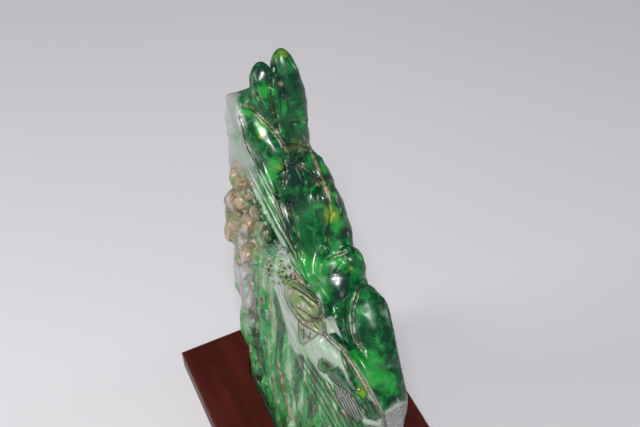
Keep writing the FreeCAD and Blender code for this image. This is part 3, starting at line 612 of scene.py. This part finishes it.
def jade_finish():
    """Polished jadeite: celadon and lavender ground, emerald cloud, streaks, russet skin in the cuts."""
    material, shader, place = new_finish("polished_jade")

    def masks(name):
        read = place.node("ShaderNodeAttribute", {"attribute_name": name})
        parts = read.node("ShaderNodeSeparateColor", {}, {0: read})
        return [Link(place.tree, parts.socket.node.outputs[i]) for i in range(3)]

    emerald, night, bright = masks("tone")
    cut, rust, gold = masks("skin")
    streak, lip, water = masks("mark")
    veil = masks("veil")[0]
    cloud = mottle(place, 95, 5, 0.6, 0.5)
    drift = mottle(place, 230, 5, 0.62, 0.9)
    fleck = mottle(place, 620, 5, 0.65, 0.3)
    grain = mottle(place, 1700, 3, 0.6)
    fall = place.node("ShaderNodeMapping", {}, {
        "Vector": place, "Rotation": (0, -0.10, 0), "Scale": (1.0, 1.0, 0.10)})
    fibre = mottle(fall, 125, 4, 0.6, 0.5)
    thread = mottle(fall, 480, 4, 0.65, 0.4)
    pale = blend_colours(step(cloud, 0.42, 0.60), (0.31, 0.30, 0.33), (0.18, 0.32, 0.19))
    pale = blend_colours(step(drift, 0.46, 0.72) * 0.5, pale, (0.13, 0.30, 0.13))
    pale = blend_colours(step(veil + (drift - 0.5) * 0.5, 0.2, 0.8) * 0.85, pale, (0.36, 0.36, 0.37))
    deep = step(cloud * 0.7 + drift * 0.5, 0.50, 0.74)
    deep = blend_colours(deep, (0.0012, 0.031, 0.012), (0.0042, 0.112, 0.026))
    deep = blend_colours(step(drift + fleck * 0.5, 0.74, 0.98), deep, (0.010, 0.205, 0.038))
    green = blend_colours(step(bright + (drift - 0.5) * 1.1, 0.25, 0.9), deep, (0.015, 0.250, 0.034))
    green = blend_colours(step(night + (drift - 0.5) * 1.2, 0.28, 0.80), green, (0.004, 0.026, 0.020))
    banded = step(fibre + (thread - 0.5) * 0.5, 0.35, 0.47)
    banded = blend_colours(banded, (0.26, 0.38, 0.25), (0.018, 0.215, 0.045))
    banded = blend_colours(step(fibre + (thread - 0.5) * 0.7, 0.49, 0.60), banded, (0.0022, 0.040, 0.015))
    banded = blend_colours(step(thread + (drift - 0.5) * 0.4, 0.56, 0.67) * 0.85, banded, (0.17, 0.105, 0.050))
    pale = blend_colours(step(streak + (drift - 0.5) * 0.6, 0.15, 0.5), pale, banded)
    ground = blend_colours(step(emerald + (cloud - 0.5) * 0.9 + (fleck - 0.5) * 0.3, 0.28, 0.66), pale, green)
    ground = blend_colours(step(gold + (drift - 0.5) * 0.7, 0.35, 0.95), ground, (0.14, 0.25, 0.010))
    skin = step(drift + (fleck - 0.5) * 0.5, 0.40, 0.56)
    skin = blend_colours(skin, (0.17, 0.095, 0.040), (0.33, 0.24, 0.17))
    skin = blend_colours(step(cloud + (drift - 0.5) * 0.6, 0.54, 0.70), skin, (0.36, 0.31, 0.33))
    ground = blend_colours(step(rust + (drift - 0.5) * 0.9, 0.30, 1.05) * 0.92, ground, skin)
    ground = blend_colours(step(water, 0.15, 0.8) * 0.75, ground, (0.34, 0.47, 0.33))
    speck = step(fleck + (grain - 0.5) * 0.6, 0.62, 0.76)
    ground = blend_colours(speck * 0.20, ground, (0.16, 0.36, 0.20))
    edge = blend_colours(step(drift, 0.42, 0.60), (0.20, 0.095, 0.045), (0.44, 0.35, 0.30))
    # Pale russet on the crevices' lips, which also paints the highlight along the near edge.
    ground = blend_colours(step(lip + (drift - 0.5) * 2.0, 0.48, 0.95) * 0.80, ground, edge)
    # Near-black in the cuts and between the fruits: dark skin there, and painted shade.
    dirt_and_shade = step(cut + (grain - 0.5) * 0.5, 0.30, 0.9)
    ground = blend_colours(dirt_and_shade * 0.92, ground, (0.013, 0.008, 0.004))
    roughness = 0.25 + 0.45 * dirt_and_shade + 0.10 * step(grain, 0.5, 0.8) + 0.10 * step(cloud, 0.45, 0.6) + 0.08 * rust
    attach(shader, Base_Color=ground, Roughness=roughness,
           Normal=bump(cloud * 0.5 + drift * 0.2 + fleck * 0.08 + grain * 0.03, 0.00028, 0.45))
    for socket, value in {"IOR": 1.66, "Specular IOR Level": 0.30, "Subsurface Weight": 0.06,
                          "Subsurface Radius": (0.5, 1.0, 0.6), "Subsurface Scale": 0.0012}.items():
        shader.inputs[socket].default_value = value
    return material


JADE = jade_finish()


def dress(obj, material):
    """Gives an object one material, in place of any that it has."""
    obj.data.materials.clear()
    obj.data.materials.append(material)


dress(stone, JADE)
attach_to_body(stone, "carving")
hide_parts("jade_mountain")


# Fruit clusters
# Round fruits left standing in the russet skin high on the relief side, ground one by one with a
# cupped tool and polished. They are part of the same stone.
def onto_stone(across, down):
    """Place and normal on the stone under a pixel of the photograph."""
    place, normal, _, _ = stone_tree.ray_cast(Vector(lens_place), sight_line(across, down), 1.0)
    return place, normal


def onto_back(along, up):
    """Place and normal on the stone's back, from along and up in mm."""
    place, normal, _, _ = stone_tree.ray_cast(Vector((along * MM, 0.06, up * MM)), Vector((0, -1, 0)), 0.1)
    return place, normal


def copies(first, places):
    """One copy of a model per place matrix, each with its own mesh; the model itself is removed."""
    made = []
    for matrix in places:
        twin = first.copy()
        twin.data = first.data.copy()
        bpy.context.scene.collection.objects.link(twin)
        twin.data.transform(matrix)
        made.append(twin)
    bpy.data.objects.remove(first)
    return made


def stand_on(place, normal, angle, sizes, sink):
    """Matrix that sets a model on the stone: its Z along the normal, its X turned to an angle."""
    up = Vector(normal).normalized()
    along = (math.cos(angle), 0, math.sin(angle))
    ahead = Vector(along) - up * Vector(along).dot(up)
    ahead = ahead.normalized() if ahead.length > 1e-6 else up.orthogonal().normalized()
    side = up.cross(ahead)
    turned = Matrix((ahead, side, up)).transposed().to_4x4()
    grown = Matrix.Diagonal((*sizes, 1))
    return Matrix.Translation(Vector(place) - up * sink) @ turned @ grown


def carried(obj, **masks):
    """Colours a piece of the carving like the stone beneath it, and lets it ride with the stone."""
    for face in obj.data.polygons:
        face.use_smooth = True
    colour_stone(obj, **masks)
    dress(obj, JADE)
    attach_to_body(obj, "carving")


# Pixel of each fruit in the photograph and its radius in mm
FRUITS = [
    (236, 203, 2.9), (232, 227, 2.1), (247, 226, 2.5), (242, 185, 2.1), (250, 197, 1.8), (233, 174, 1.8),
    (256, 212, 1.9), (253, 241, 2.4), (245, 254, 2.5), (261, 262, 1.9), (266, 236, 2.4), (240, 214, 1.6),
    (229, 214, 1.3), (241, 240, 1.8), (236, 164, 1.2), (246, 211, 1.4), (259, 224, 1.4), (254, 266, 1.6),
    (230, 187, 1.5), (262, 249, 1.4), (238, 262, 1.8), (252, 184, 1.2), (228, 238, 1.6), (248, 272, 1.7),
    (258, 277, 1.5), (268, 268, 1.4),
]
FRUITS_AT_BACK = [
    (-52, 118, 2.3), (-47, 128, 2.0), (-50, 136, 2.2), (-44, 121, 1.7), (-45, 139, 1.6), (-40, 131, 1.9),
]
dent = bpy.data.textures.new("dent", "CLOUDS")
dent.noise_scale = 0.9
fruit = ball(3)
finish_with(fruit, "DISPLACE", texture=dent, strength=0.42, mid_level=0.5)
spots = []
for index, (across, down, radius) in enumerate(FRUITS):
    place, normal = onto_stone(across, down)
    if place is not None:
        size = radius * 1.25 * MM
        sizes = (size * 1.12, size * (0.82 + 0.1 * math.sin(index)), size * 0.8)
        spots.append(stand_on(place, normal, index * 2.4, sizes, size * 0.42))
for index, (along, up, radius) in enumerate(FRUITS_AT_BACK):
    size = radius * MM
    spots.append(stand_on(*onto_back(along, up), index * 2.4, (size, size, size * 0.85), size * 0.3))
fruits = joined("fruit_clusters", copies(fruit, spots))
carried(fruits, russet=0.34)

# Relief along the rim
# The finest carving of the stone: a lobed mushroom under a plain rim, a knotty branch with buds and
# leaves, and a crane with hatched coverts over long feathers, all cut from half a millimetre to a
# millimetre high from a ground that is polished flat.
def edge_of(rows, down):
    """Pixel across at each pixel down, along a line of (down, across) rows."""
    return np.interp(down, *zip(*rows))


RIM_LEFT = [(258, 262), (300, 277), (340, 288), (380, 304), (427, 324), (470, 346)]
RIM_RIGHT = [
    (258, 287), (273, 300), (283, 306), (293, 313), (299, 321), (318, 325), (322, 334), (341, 344), (373, 364),
    (411, 385), (427, 386), (445, 384), (470, 383),
]
PANEL_TOP, PANEL_FOOT, PANEL_ACROSS, PANEL_DOWN = 258, 470, 132, 320
bpy.ops.object.select_all(action="DESELECT")
bpy.ops.mesh.primitive_grid_add(x_subdivisions=PANEL_ACROSS, y_subdivisions=PANEL_DOWN, size=2)
panel = bpy.context.object
panel.name = panel.data.name = "rim_relief"
unit, _ = places_and_normals(panel)
order = np.lexsort((unit[:, 0].round(5), -unit[:, 1].round(5)))
share_across, share_down = (unit[order, 0] + 1) / 2, (1 - unit[order, 1]) / 2
down = PANEL_TOP + share_down * (PANEL_FOOT - PANEL_TOP)
across = edge_of(RIM_LEFT, down) + share_across * (edge_of(RIM_RIGHT, down) - edge_of(RIM_LEFT, down))
ways = [sight_line(x, y) for x, y in zip(across, down)]
hits = [stone_tree.ray_cast(Vector(lens_place), way, 1.0)[3] for way in ways]
reach = np.array([np.nan if far is None else far for far in hits])
reach = np.where(np.isnan(reach), np.nanmedian(reach), reach).reshape(PANEL_DOWN + 1, PANEL_ACROSS + 1)


def evened(field, size):
    """Running mean of a field of rows and columns, its borders held."""
    for axis in (0, 1):
        padded = np.concatenate([field.take([0] * size, axis), field, field.take([-1] * size, axis)], axis)
        total = np.cumsum(padded, axis)
        total = np.concatenate([np.zeros_like(total.take([0], axis)), total], axis)
        span = 2 * size + 1
        count = field.shape[axis]
        field = (total.take(range(span, span + count), axis) - total.take(range(count), axis)) / span
    return field


smooth_reach = evened(reach, 7)
smooth_reach = evened(np.minimum(smooth_reach, reach - 0.0010), 2)
smooth_reach = evened(np.minimum(smooth_reach, reach - 0.0006), 1)
ways = np.array(ways)
base = lens_place + ways * smooth_reach.reshape(-1, 1)
grid = base.reshape(*reach.shape, 3)
outward = np.cross(np.gradient(grid, axis=0), np.gradient(grid, axis=1)).reshape(-1, 3)
outward /= np.linalg.norm(outward, axis=1)[:, None]
outward *= np.sign((outward * -ways).sum(1))[:, None]
spot = np.column_stack((across, down))
rise, cut_and_shade_now, lip_now, olive, leafy, rusty = (np.zeros(len(spot)) for _ in range(6))


def most(field, value):
    """Lifts a field of the panel to a value where that is more."""
    field[:] = np.maximum(field, value)


def raise_form(corners, height, soft=1.5):
    """Lifts a form off the ground inside its outline, and paints a fine dark line of shade round its foot."""
    depth_in = inside_of(spot, corners)
    most(rise, height * ramp(depth_in, -0.3, soft))
    most(cut_and_shade_now, 0.85 * np.exp(-((depth_in + 0.6) / 0.75) ** 2))
    return ramp(depth_in, -0.5, 0.6)


def score(wide, height, mark, strength, courses, taper=0.15):
    """Draws fine lines: raised where the height is above nothing, cut where it is below."""
    for course in courses:
        near, fade = from_line(spot, rounded(course), taper)
        line = np.exp(-(near / wide) ** 2) * fade
        rise[:] += height * line
        most(mark, strength * line)


mushroom = raise_form([
    (285, 284), (288, 280), (293, 278), (299, 283), (304, 288), (310, 293), (316, 300), (320, 307), (323, 315),
    (325, 325), (326, 335), (319, 334), (312, 329), (305, 325), (299, 320), (294, 314), (289, 306), (286, 297),
], 1.00, 5.0)
lobe = raise_form([
    (299, 321), (305, 325), (312, 330), (318, 334), (313, 338), (308, 341), (304, 344), (300, 342), (299, 333),
], 0.50)
shelf = raise_form([
    (295, 272), (302, 279), (310, 288), (318, 298), (321, 306), (321, 314), (318, 306), (313, 297), (305, 288),
    (297, 280), (291, 276),
], 0.45)
most(olive, np.max([0.95 * mushroom, 0.8 * lobe, 0.3 * shelf], axis=0))
most(rusty, 0.8 * shelf)
score(0.75, 0.22, lip_now, 1.0, [
    [
        (294, 302), (297, 300), (300, 303), (303, 306), (306, 306), (309, 308), (312, 312), (316, 313),
        (319, 315), (322, 321),
    ],
    [(298, 305), (302, 310), (305, 313), (309, 316), (312, 320), (316, 325), (320, 330), (323, 334)],
    [(292, 291), (298, 292), (303, 296), (308, 301), (313, 305), (318, 309)],
    [(298, 312), (303, 318), (309, 323), (314, 329), (319, 333)],
    [(305, 309), (310, 312), (314, 317), (319, 321), (323, 327)],
    [(300, 285), (307, 291), (314, 298), (319, 306), (322, 314)], [(301, 325), (303, 331), (302, 338)],
    [(307, 328), (308, 333), (306, 339)],
])
score(0.9, -0.24, cut_and_shade_now, 0.9, [
    [(296, 304), (300, 306), (304, 309), (308, 311), (312, 315), (317, 317), (321, 323)],
    [(297, 309), (303, 315), (309, 320), (315, 327), (320, 332)],
    [(290, 287), (296, 289), (302, 293), (308, 298), (314, 303), (319, 311)],
    [(304, 327), (305, 333), (304, 340)], [(311, 331), (311, 335), (309, 339)],
    [(300, 296), (305, 300), (310, 306), (315, 309)], [(288, 293), (292, 300), (296, 309)],
])
# Small curls over the ground above the mushroom, at places from a sine, never in a row
for index in range(40):
    swirl_x = 264 + 32 * ((math.sin(index * 12.99) * 437.58) % 1)
    swirl_y = 256 + 24 * ((math.sin(index * 78.23) * 287.31) % 1) + (swirl_x - 268) * 0.40
    away = np.hypot((spot[:, 0] - swirl_x) * (1.1 + 0.4 * math.sin(index)), spot[:, 1] - swirl_y)
    swirl = np.exp(-((away - 2.0 - 0.8 * math.sin(index * 5)) / 0.8) ** 2)
    rise += 0.38 * swirl
    most(lip_now, 0.5 * swirl)
    most(cut_and_shade_now, np.exp(-(away / 1.4) ** 2))
    most(olive, np.exp(-(away / 5.0) ** 2))
BRANCH = [
    (325, 334), (329, 339), (333, 343), (338, 347), (342, 351), (347, 357), (352, 364), (357, 372), (363, 382),
    (369, 393), (375, 404), (383, 417),
]
near, fade = from_line(spot, rounded(BRANCH))
knots = 1 + 0.25 * np.sin(spot[:, 1] * 0.9) + 0.2 * np.sin(spot[:, 1] * 2.3 + 1)
bough = np.exp(-(near / knots) ** 4)
most(rise, 0.70 * bough * knots)
most(rusty, 0.95 * bough)
# Painted shade: a dark line along each side of the raised branch.
most(cut_and_shade_now, 0.9 * np.exp(-((near - 1.9) / 0.7) ** 2))
score(0.5, 0.05, lip_now, 0.9, [[(x + 1.6, y - 0.6) for x, y in BRANCH]])
score(0.6, 0.22, olive, 1.0, [
    [(331, 341), (330, 345), (329, 350)], [(333, 343), (333, 348), (334, 353)],
    [(329, 339), (327, 342), (325, 345)], [(332, 342), (331, 346), (332, 351)],
    [(337, 348), (336, 352), (337, 356)], [(326, 336), (323, 339), (321, 341)],
], 0.4)
# Three leaves beside the branch, then the crane: head, back, coverts with fine hatching, feathers
leaf_high = raise_form([
    (341, 352), (345, 358), (352, 368), (357, 377), (362, 386), (359, 390), (355, 388), (350, 381), (347, 372),
    (343, 362),
], 0.45)
leaf_mid = raise_form([(355, 389), (360, 387), (366, 392), (367, 399), (362, 404), (357, 399)], 0.60)
leaf_low = raise_form([
    (358, 400), (366, 398), (372, 402), (377, 409), (381, 417), (376, 420), (367, 418), (361, 410),
], 0.40)
head = raise_form([
    (318, 366), (319, 361), (322, 358), (327, 361), (333, 366), (332, 370), (325, 373), (320, 370),
], 0.95, 3.0)
body = raise_form([
    (328, 374), (333, 369), (338, 367), (343, 372), (347, 381), (355, 391), (357, 397), (352, 394), (345, 389),
    (338, 385), (331, 380),
], 0.85, 3.0)
most(leafy, np.max([0.95 * leaf_high, 0.95 * leaf_mid, 0.9 * leaf_low, 0.75 * head, 0.95 * body], axis=0))
most(olive, 0.65 * head)
coverts = raise_form([
    (334, 384), (338, 387), (345, 391), (352, 396), (356, 401), (359, 408), (363, 418), (358, 423), (352, 416),
    (345, 409), (339, 399),
], 0.40)
hatch = np.sin((spot[:, 0] * 0.88 - spot[:, 1] * 0.47) * 2 * np.pi / 2.2 + 0.5 * np.sin(spot[:, 1] / 6))
rise += 0.10 * hatch * coverts
most(cut_and_shade_now, (0.58 + 0.40 * ramp(-hatch, -0.1, 0.8)) * coverts)
most(lip_now, 0.25 * ramp(hatch, 0.3, 1.0) * coverts)
score(0.80, 0.26, lip_now, 0.9, [
    [(319, 367), (323, 371), (328, 373), (332, 369)],
    [(328, 377), (333, 381), (338, 384), (345, 388), (352, 393), (357, 399)],
    [(343, 355), (346, 366), (349, 376), (354, 385), (360, 391)],
    [(345, 357), (352, 367), (358, 377), (363, 385)],
    [(318, 377), (324, 387), (330, 398), (336, 409), (342, 419), (348, 429)],
    [(323, 376), (329, 386), (335, 397), (341, 407), (347, 416), (353, 426)],
    [(311, 378), (318, 391), (326, 405), (334, 419), (342, 433)],
    [(306, 384), (313, 398), (321, 413), (330, 428), (338, 442)],
    [(357, 397), (361, 408), (366, 417), (376, 421), (383, 419)],
    [(330, 381), (335, 391), (341, 402), (348, 412), (356, 423)],
])
score(1.0, -0.24, cut_and_shade_now, 1.0, [
    [(320, 374), (325, 383), (330, 392), (338, 407), (348, 422)],
    [(328, 378), (337, 385), (345, 390), (353, 396), (358, 405), (364, 418)],
    [(308, 381), (315, 395), (323, 409), (332, 424), (340, 438)],
    [(304, 392), (311, 406), (320, 421), (329, 437)], [(364, 400), (369, 407), (372, 415)],
    [(361, 402), (365, 410), (369, 417)], [(369, 401), (374, 408), (377, 415)],
    [(344, 358), (350, 369), (356, 381)], [(357, 392), (361, 396), (364, 401)],
    [(323, 361), (328, 364), (331, 368)],
])
score(0.7, -0.10, rusty, 0.9, [[(334, 371), (340, 376), (345, 383), (351, 390), (356, 395)]])
# Green stone on the outer side of the branch, long feathers below it, and the mushroom's ribs
beside = ramp(inside_of(spot, [
    (328, 334), (336, 341), (345, 349), (355, 363), (361, 372), (367, 382), (373, 393), (379, 404), (387, 418),
    (396, 418), (390, 404), (378, 385), (366, 364), (343, 340), (336, 332),
]), -0.3, 0.8)
most(leafy, beside)
feathers = ramp(inside_of(spot, [
    (296, 352), (308, 356), (316, 366), (322, 374), (340, 392), (362, 420), (376, 446), (383, 470), (350, 470),
    (330, 440), (310, 400),
]), -2, 4)
uncovered = feathers * (1 - coverts)
quills = np.sin((spot[:, 0] * 0.86 - spot[:, 1] * 0.51) * 2 * np.pi / 4.4 + 0.9 * np.sin(spot[:, 1] / 11))
rise += 0.16 * quills * uncovered
most(cut_and_shade_now, 0.75 * ramp(-quills, 0.1, 0.9) * uncovered)
most(lip_now, 0.55 * ramp(quills, 0.4, 1.0) * uncovered)
sway = 1.1 * np.sin((spot[:, 0] * 0.62 + spot[:, 1] * 0.78) / 3.5)
ribs = np.sin((spot[:, 0] * 0.78 - spot[:, 1] * 0.62) * 2 * np.pi / 3.8 + sway)
ribbed = np.maximum(mushroom, lobe)
rise += 0.06 * ribs * ribbed
most(cut_and_shade_now, 0.45 * ramp(-ribs, 0.3, 1.0) * ribbed)
ashen = 0.8 * feathers * (1 - leafy)
# The panel's border sinks into the stone, so no edge of it stands free
rim_shares = (share_across / 0.05, (1 - share_across) / 0.03, share_down / 0.03, (1 - share_down) / 0.03)
held = ramp(np.minimum.reduce(rim_shares), 0, 1)
SUNK = 0.45
placed = np.empty_like(unit)
placed[order] = base + outward * ((rise * held + SUNK * held - SUNK) * MM)[:, None]
set_places(panel, placed)
finish_with(panel, "SOLIDIFY", thickness=0.0006, offset=-1)


def both_shells(values):
    """Values of the grid's points for the outer and the inner shell of the solid panel."""
    ordered = np.empty_like(values)
    ordered[order] = values
    return np.tile(ordered, 2)


plain = (1 - ramp(rise, 0.05, 0.3)) * (1 - ashen) * (1 - leafy)
cut_and_shade_now = np.maximum(cut_and_shade_now, 0.55 * ashen * (1 - lip_now) * (1 - coverts))
bare = 0.92 * (1 - leafy) * (1 - 0.45 * olive) * (1 - 0.35 * ashen)
# What the colours of the stone take from the panel's fields
panel_masks = {
    "cut_and_shade_mask": cut_and_shade_now, "lip_and_glint_mask": lip_now, "water_mask": 0.55 * plain,
    "russet": np.maximum(rusty, 0.14 * olive), "pale": bare, "golden": 0.68 * olive,
    "green": leafy + 0.55 * olive + 0.25 * ashen * (1 - coverts),
    "grey": 0.55 * coverts, "fibres": 0.7 * uncovered,
}
carried(panel, streaks=0.1, **{key: both_shells(mask) for key, mask in panel_masks.items()})


# Buds, leaf tufts and pale folds
# Small lumps left standing on the stone: buds along the branch, tufts of leaves between the fruit
# and the mushroom, and worn pale folds low on the far edge.
def pebbles(name, subdivisions, spots):
    """Slightly uneven lumps on the stone: pixel, sizes in mm along, across and out, and degrees."""
    lump = ball(subdivisions)
    finish_with(lump, "DISPLACE", texture=dent, strength=0.18, mid_level=0.5)
    placed = []
    for across, down, along, wide, out, degrees in spots:
        place, normal = onto_stone(across, down)
        if place is not None:
            sizes = (along * MM, wide * MM, out * MM)
            placed.append(stand_on(place, normal, math.radians(degrees), sizes, out * 0.15 * MM))
    return joined(name, copies(lump, placed))


buds = []
for index in range(46):
    first, second = BRANCH[index % 11], BRANCH[index % 11 + 1]
    part = (index * 0.37) % 1
    off = 1.6 * math.sin(index * 1.9)
    across, down = (first[axis] * (1 - part) + second[axis] * part for axis in (0, 1))
    buds.append((across + off, down - off * 0.7, 0.36 + 0.10 * math.sin(index * 3.1), 0.34, 0.40, index * 40))
carried(pebbles("branch_buds", 2, buds), russet=0.75, green=0.3)
tufts = []
for index in range(52):
    across = 256 + 34 * ((index * 0.618) % 1)
    down = 226 + 0.75 * (across - 256) + 34 * ((index * 0.377) % 1)
    if down < 256 or across < edge_of(RIM_LEFT, down) + 4:
        high = 0.8 + 0.2 * math.sin(index * 1.3)
        tufts.append((across, down, 1.35 + 0.35 * math.sin(index * 2.1), 0.8, high, index * 47))
carried(pebbles("leaf_tufts", 2, tufts), russet=0.22, golden=0.30, green=0.25, pale=0.45)
LOW_FOLDS = [
    (244, 258), (250, 270), (245, 276), (252, 286), (247, 292), (256, 296), (250, 304), (246, 312), (257, 312),
    (262, 300), (253, 322), (249, 332), (260, 328), (266, 315), (264, 340), (256, 345),
]
folds = [
    (across, down, 2.7 + 0.5 * math.sin(index * 1.7), 1.25 + 0.2 * math.sin(index * 2.9), 1.0,
     84 + 14 * math.sin(index * 2.3))
    for index, (across, down) in enumerate(LOW_FOLDS)]
carried(pebbles("pale_folds", 3, folds), russet=0.20, pale=0.85, grey=0.45)


# Stand
# Low stand of dark red-brown hardwood: a flat board with crisp arrises, a recessed waist, aprons
# and four short feet, rubbed with wax until it has a low sheen.
def wood_finish(name, along, light, dark, sheen):
    """Waxed hardwood whose grain runs along one axis of the object."""
    material, shader, place = new_finish(name)
    stretch = tuple(0.08 if axis == along else 1.0 for axis in range(3))
    grained = place.node("ShaderNodeMapping", {}, {"Vector": place, "Scale": stretch})
    wave = mottle(grained, 160, 5, 0.6, 0.8)
    pore = mottle(grained, 2200, 3, 0.7)
    blotch = mottle(place, 40, 3, 0.5)
    colour = blend_colours(step(wave + (blotch - 0.5) * 0.5, 0.35, 0.70), dark, light)
    pores = step(pore, 0.58, 0.70)
    colour = blend_colours(pores * 0.55, colour, tuple(0.35 * part for part in dark))
    attach(shader, Base_Color=colour, Roughness=sheen + 0.18 * pores + 0.10 * step(blotch, 0.4, 0.7),
           Normal=bump(wave * 0.2 - pores * 0.6, 0.00012, 0.6))
    shader.inputs["Specular IOR Level"].default_value = 0.22
    return material


ROSEWOOD_ALONG = wood_finish("rosewood_lengthwise", 0, (0.066, 0.0085, 0.0042), (0.042, 0.0052, 0.0030), 0.38)
ROSEWOOD_ACROSS = wood_finish("rosewood_crosswise", 1, (0.063, 0.0082, 0.0041), (0.040, 0.0050, 0.0029), 0.40)
ROSEWOOD_UPRIGHT = wood_finish("rosewood_upright", 2, (0.060, 0.0080, 0.0040), (0.038, 0.0048, 0.0028), 0.40)


def eased(node, edge, finish):
    """A CAD piece of the stand with its sharp edges rubbed down a little."""
    obj = copy_of(node, f"{node}_rubbed")
    bpy.ops.object.mode_set(mode="EDIT")
    bpy.ops.mesh.select_all(action="SELECT")
    bpy.ops.mesh.dissolve_limited(angle_limit=math.radians(1))
    bpy.ops.object.mode_set(mode="OBJECT")
    finish_with(obj, "BEVEL", width=edge * MM, segments=2, limit_method="ANGLE", angle_limit=math.radians(25))
    bpy.ops.object.shade_smooth_by_angle(angle=math.radians(35))
    dress(obj, finish)
    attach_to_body(obj, "stand")
    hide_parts(node)


for node in ("front_waist_rail", "back_waist_rail", "front_apron", "back_apron"):
    eased(node, 0.35, ROSEWOOD_ALONG)
for node in ("left_waist_rail", "right_waist_rail", "left_apron", "right_apron", "left_batten", "right_batten"):
    eased(node, 0.3, ROSEWOOD_ACROSS)
for node in ("front_left_leg", "front_right_leg", "back_left_leg", "back_right_leg"):
    eased(node, 0.4, ROSEWOOD_UPRIGHT)
dress(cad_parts["top_board"], ROSEWOOD_ALONG)

# Dowels and felts
# Pale turned dowels that pin the legs, a thin green felt under the stone's foot, and a black felt
# pad glued under each leg.
dress(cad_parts["leg_dowels"], wood_finish("dowel_wood", 2, (0.42, 0.27, 0.14), (0.26, 0.15, 0.07), 0.5))


def felt_finish(name, light, dark):
    """Pressed wool with a short nap."""
    material, shader, place = new_finish(name)
    nap = mottle(place, 2600, 4, 0.7)
    tuft = mottle(place, 500, 3, 0.6)
    colour = blend_colours(step(nap + (tuft - 0.5) * 0.6, 0.35, 0.70), dark, light)
    attach(shader, Base_Color=colour, Roughness=0.90 + 0.08 * nap, Normal=bump(nap + tuft * 0.4, 0.00035, 0.9))
    shader.inputs["Sheen Weight"].default_value = 0.3
    return material


GREEN_FELT = felt_finish("green_felt", (0.020, 0.060, 0.032), (0.008, 0.026, 0.014))
BLACK_FELT = felt_finish("black_felt", (0.030, 0.028, 0.027), (0.010, 0.009, 0.009))
dress(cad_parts["socket_felt"], GREEN_FELT)
for corner in ("front_left", "front_right", "back_left", "back_right"):
    dress(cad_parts[f"{corner}_pad"], BLACK_FELT)

# Floor and lights
# A plain pale floor and soft studio lamps: one above, on the side of the camera, one that rakes the
# relief from the left, and one behind that draws a thin bright line along the edge.
bpy.ops.object.select_all(action="DESELECT")
bpy.ops.mesh.primitive_plane_add(size=6)
floor = bpy.context.object
floor.name = "floor"
floor_material, floor_shader, floor_place = new_finish("pale_floor")
tint = mottle(floor_place, 1.2, 2, 0.5)
attach(floor_shader, Base_Color=blend_colours(step(tint, 0.3, 0.7), (0.60, 0.59, 0.62), (0.66, 0.65, 0.68)))
floor_shader.inputs["Roughness"].default_value = 0.9
dress(floor, floor_material)


def lamp(name, place, size, energy, tint):
    data = bpy.data.lights.new(name, "AREA")
    data.shape, data.size, data.energy, data.color = "DISK", size, energy, tint
    obj = bpy.data.objects.new(name, data)
    obj.location = place
    obj.rotation_euler = (Vector((0, 0, 0.11)) - Vector(place)).to_track_quat("-Z", "Y").to_euler()
    bpy.context.scene.collection.objects.link(obj)


lamp("key", (0.46, -0.24, 0.98), 0.21, 11, (1.0, 0.99, 0.98))
lamp("side", (-0.25, -1.0, 0.50), 0.5, 6, (1.0, 0.99, 0.98))
lamp("rim", (0.25, 0.95, 0.42), 0.3, 1.5, (0.97, 0.98, 1.0))
world = bpy.context.scene.world or bpy.data.worlds.new("room")
bpy.context.scene.world = world
world.use_nodes = True
room = world.node_tree.nodes["Background"]
room.inputs["Color"].default_value = (0.80, 0.80, 0.82, 1)
room.inputs["Strength"].default_value = 0.17
bpy.context.scene.view_settings.view_transform = "Standard"
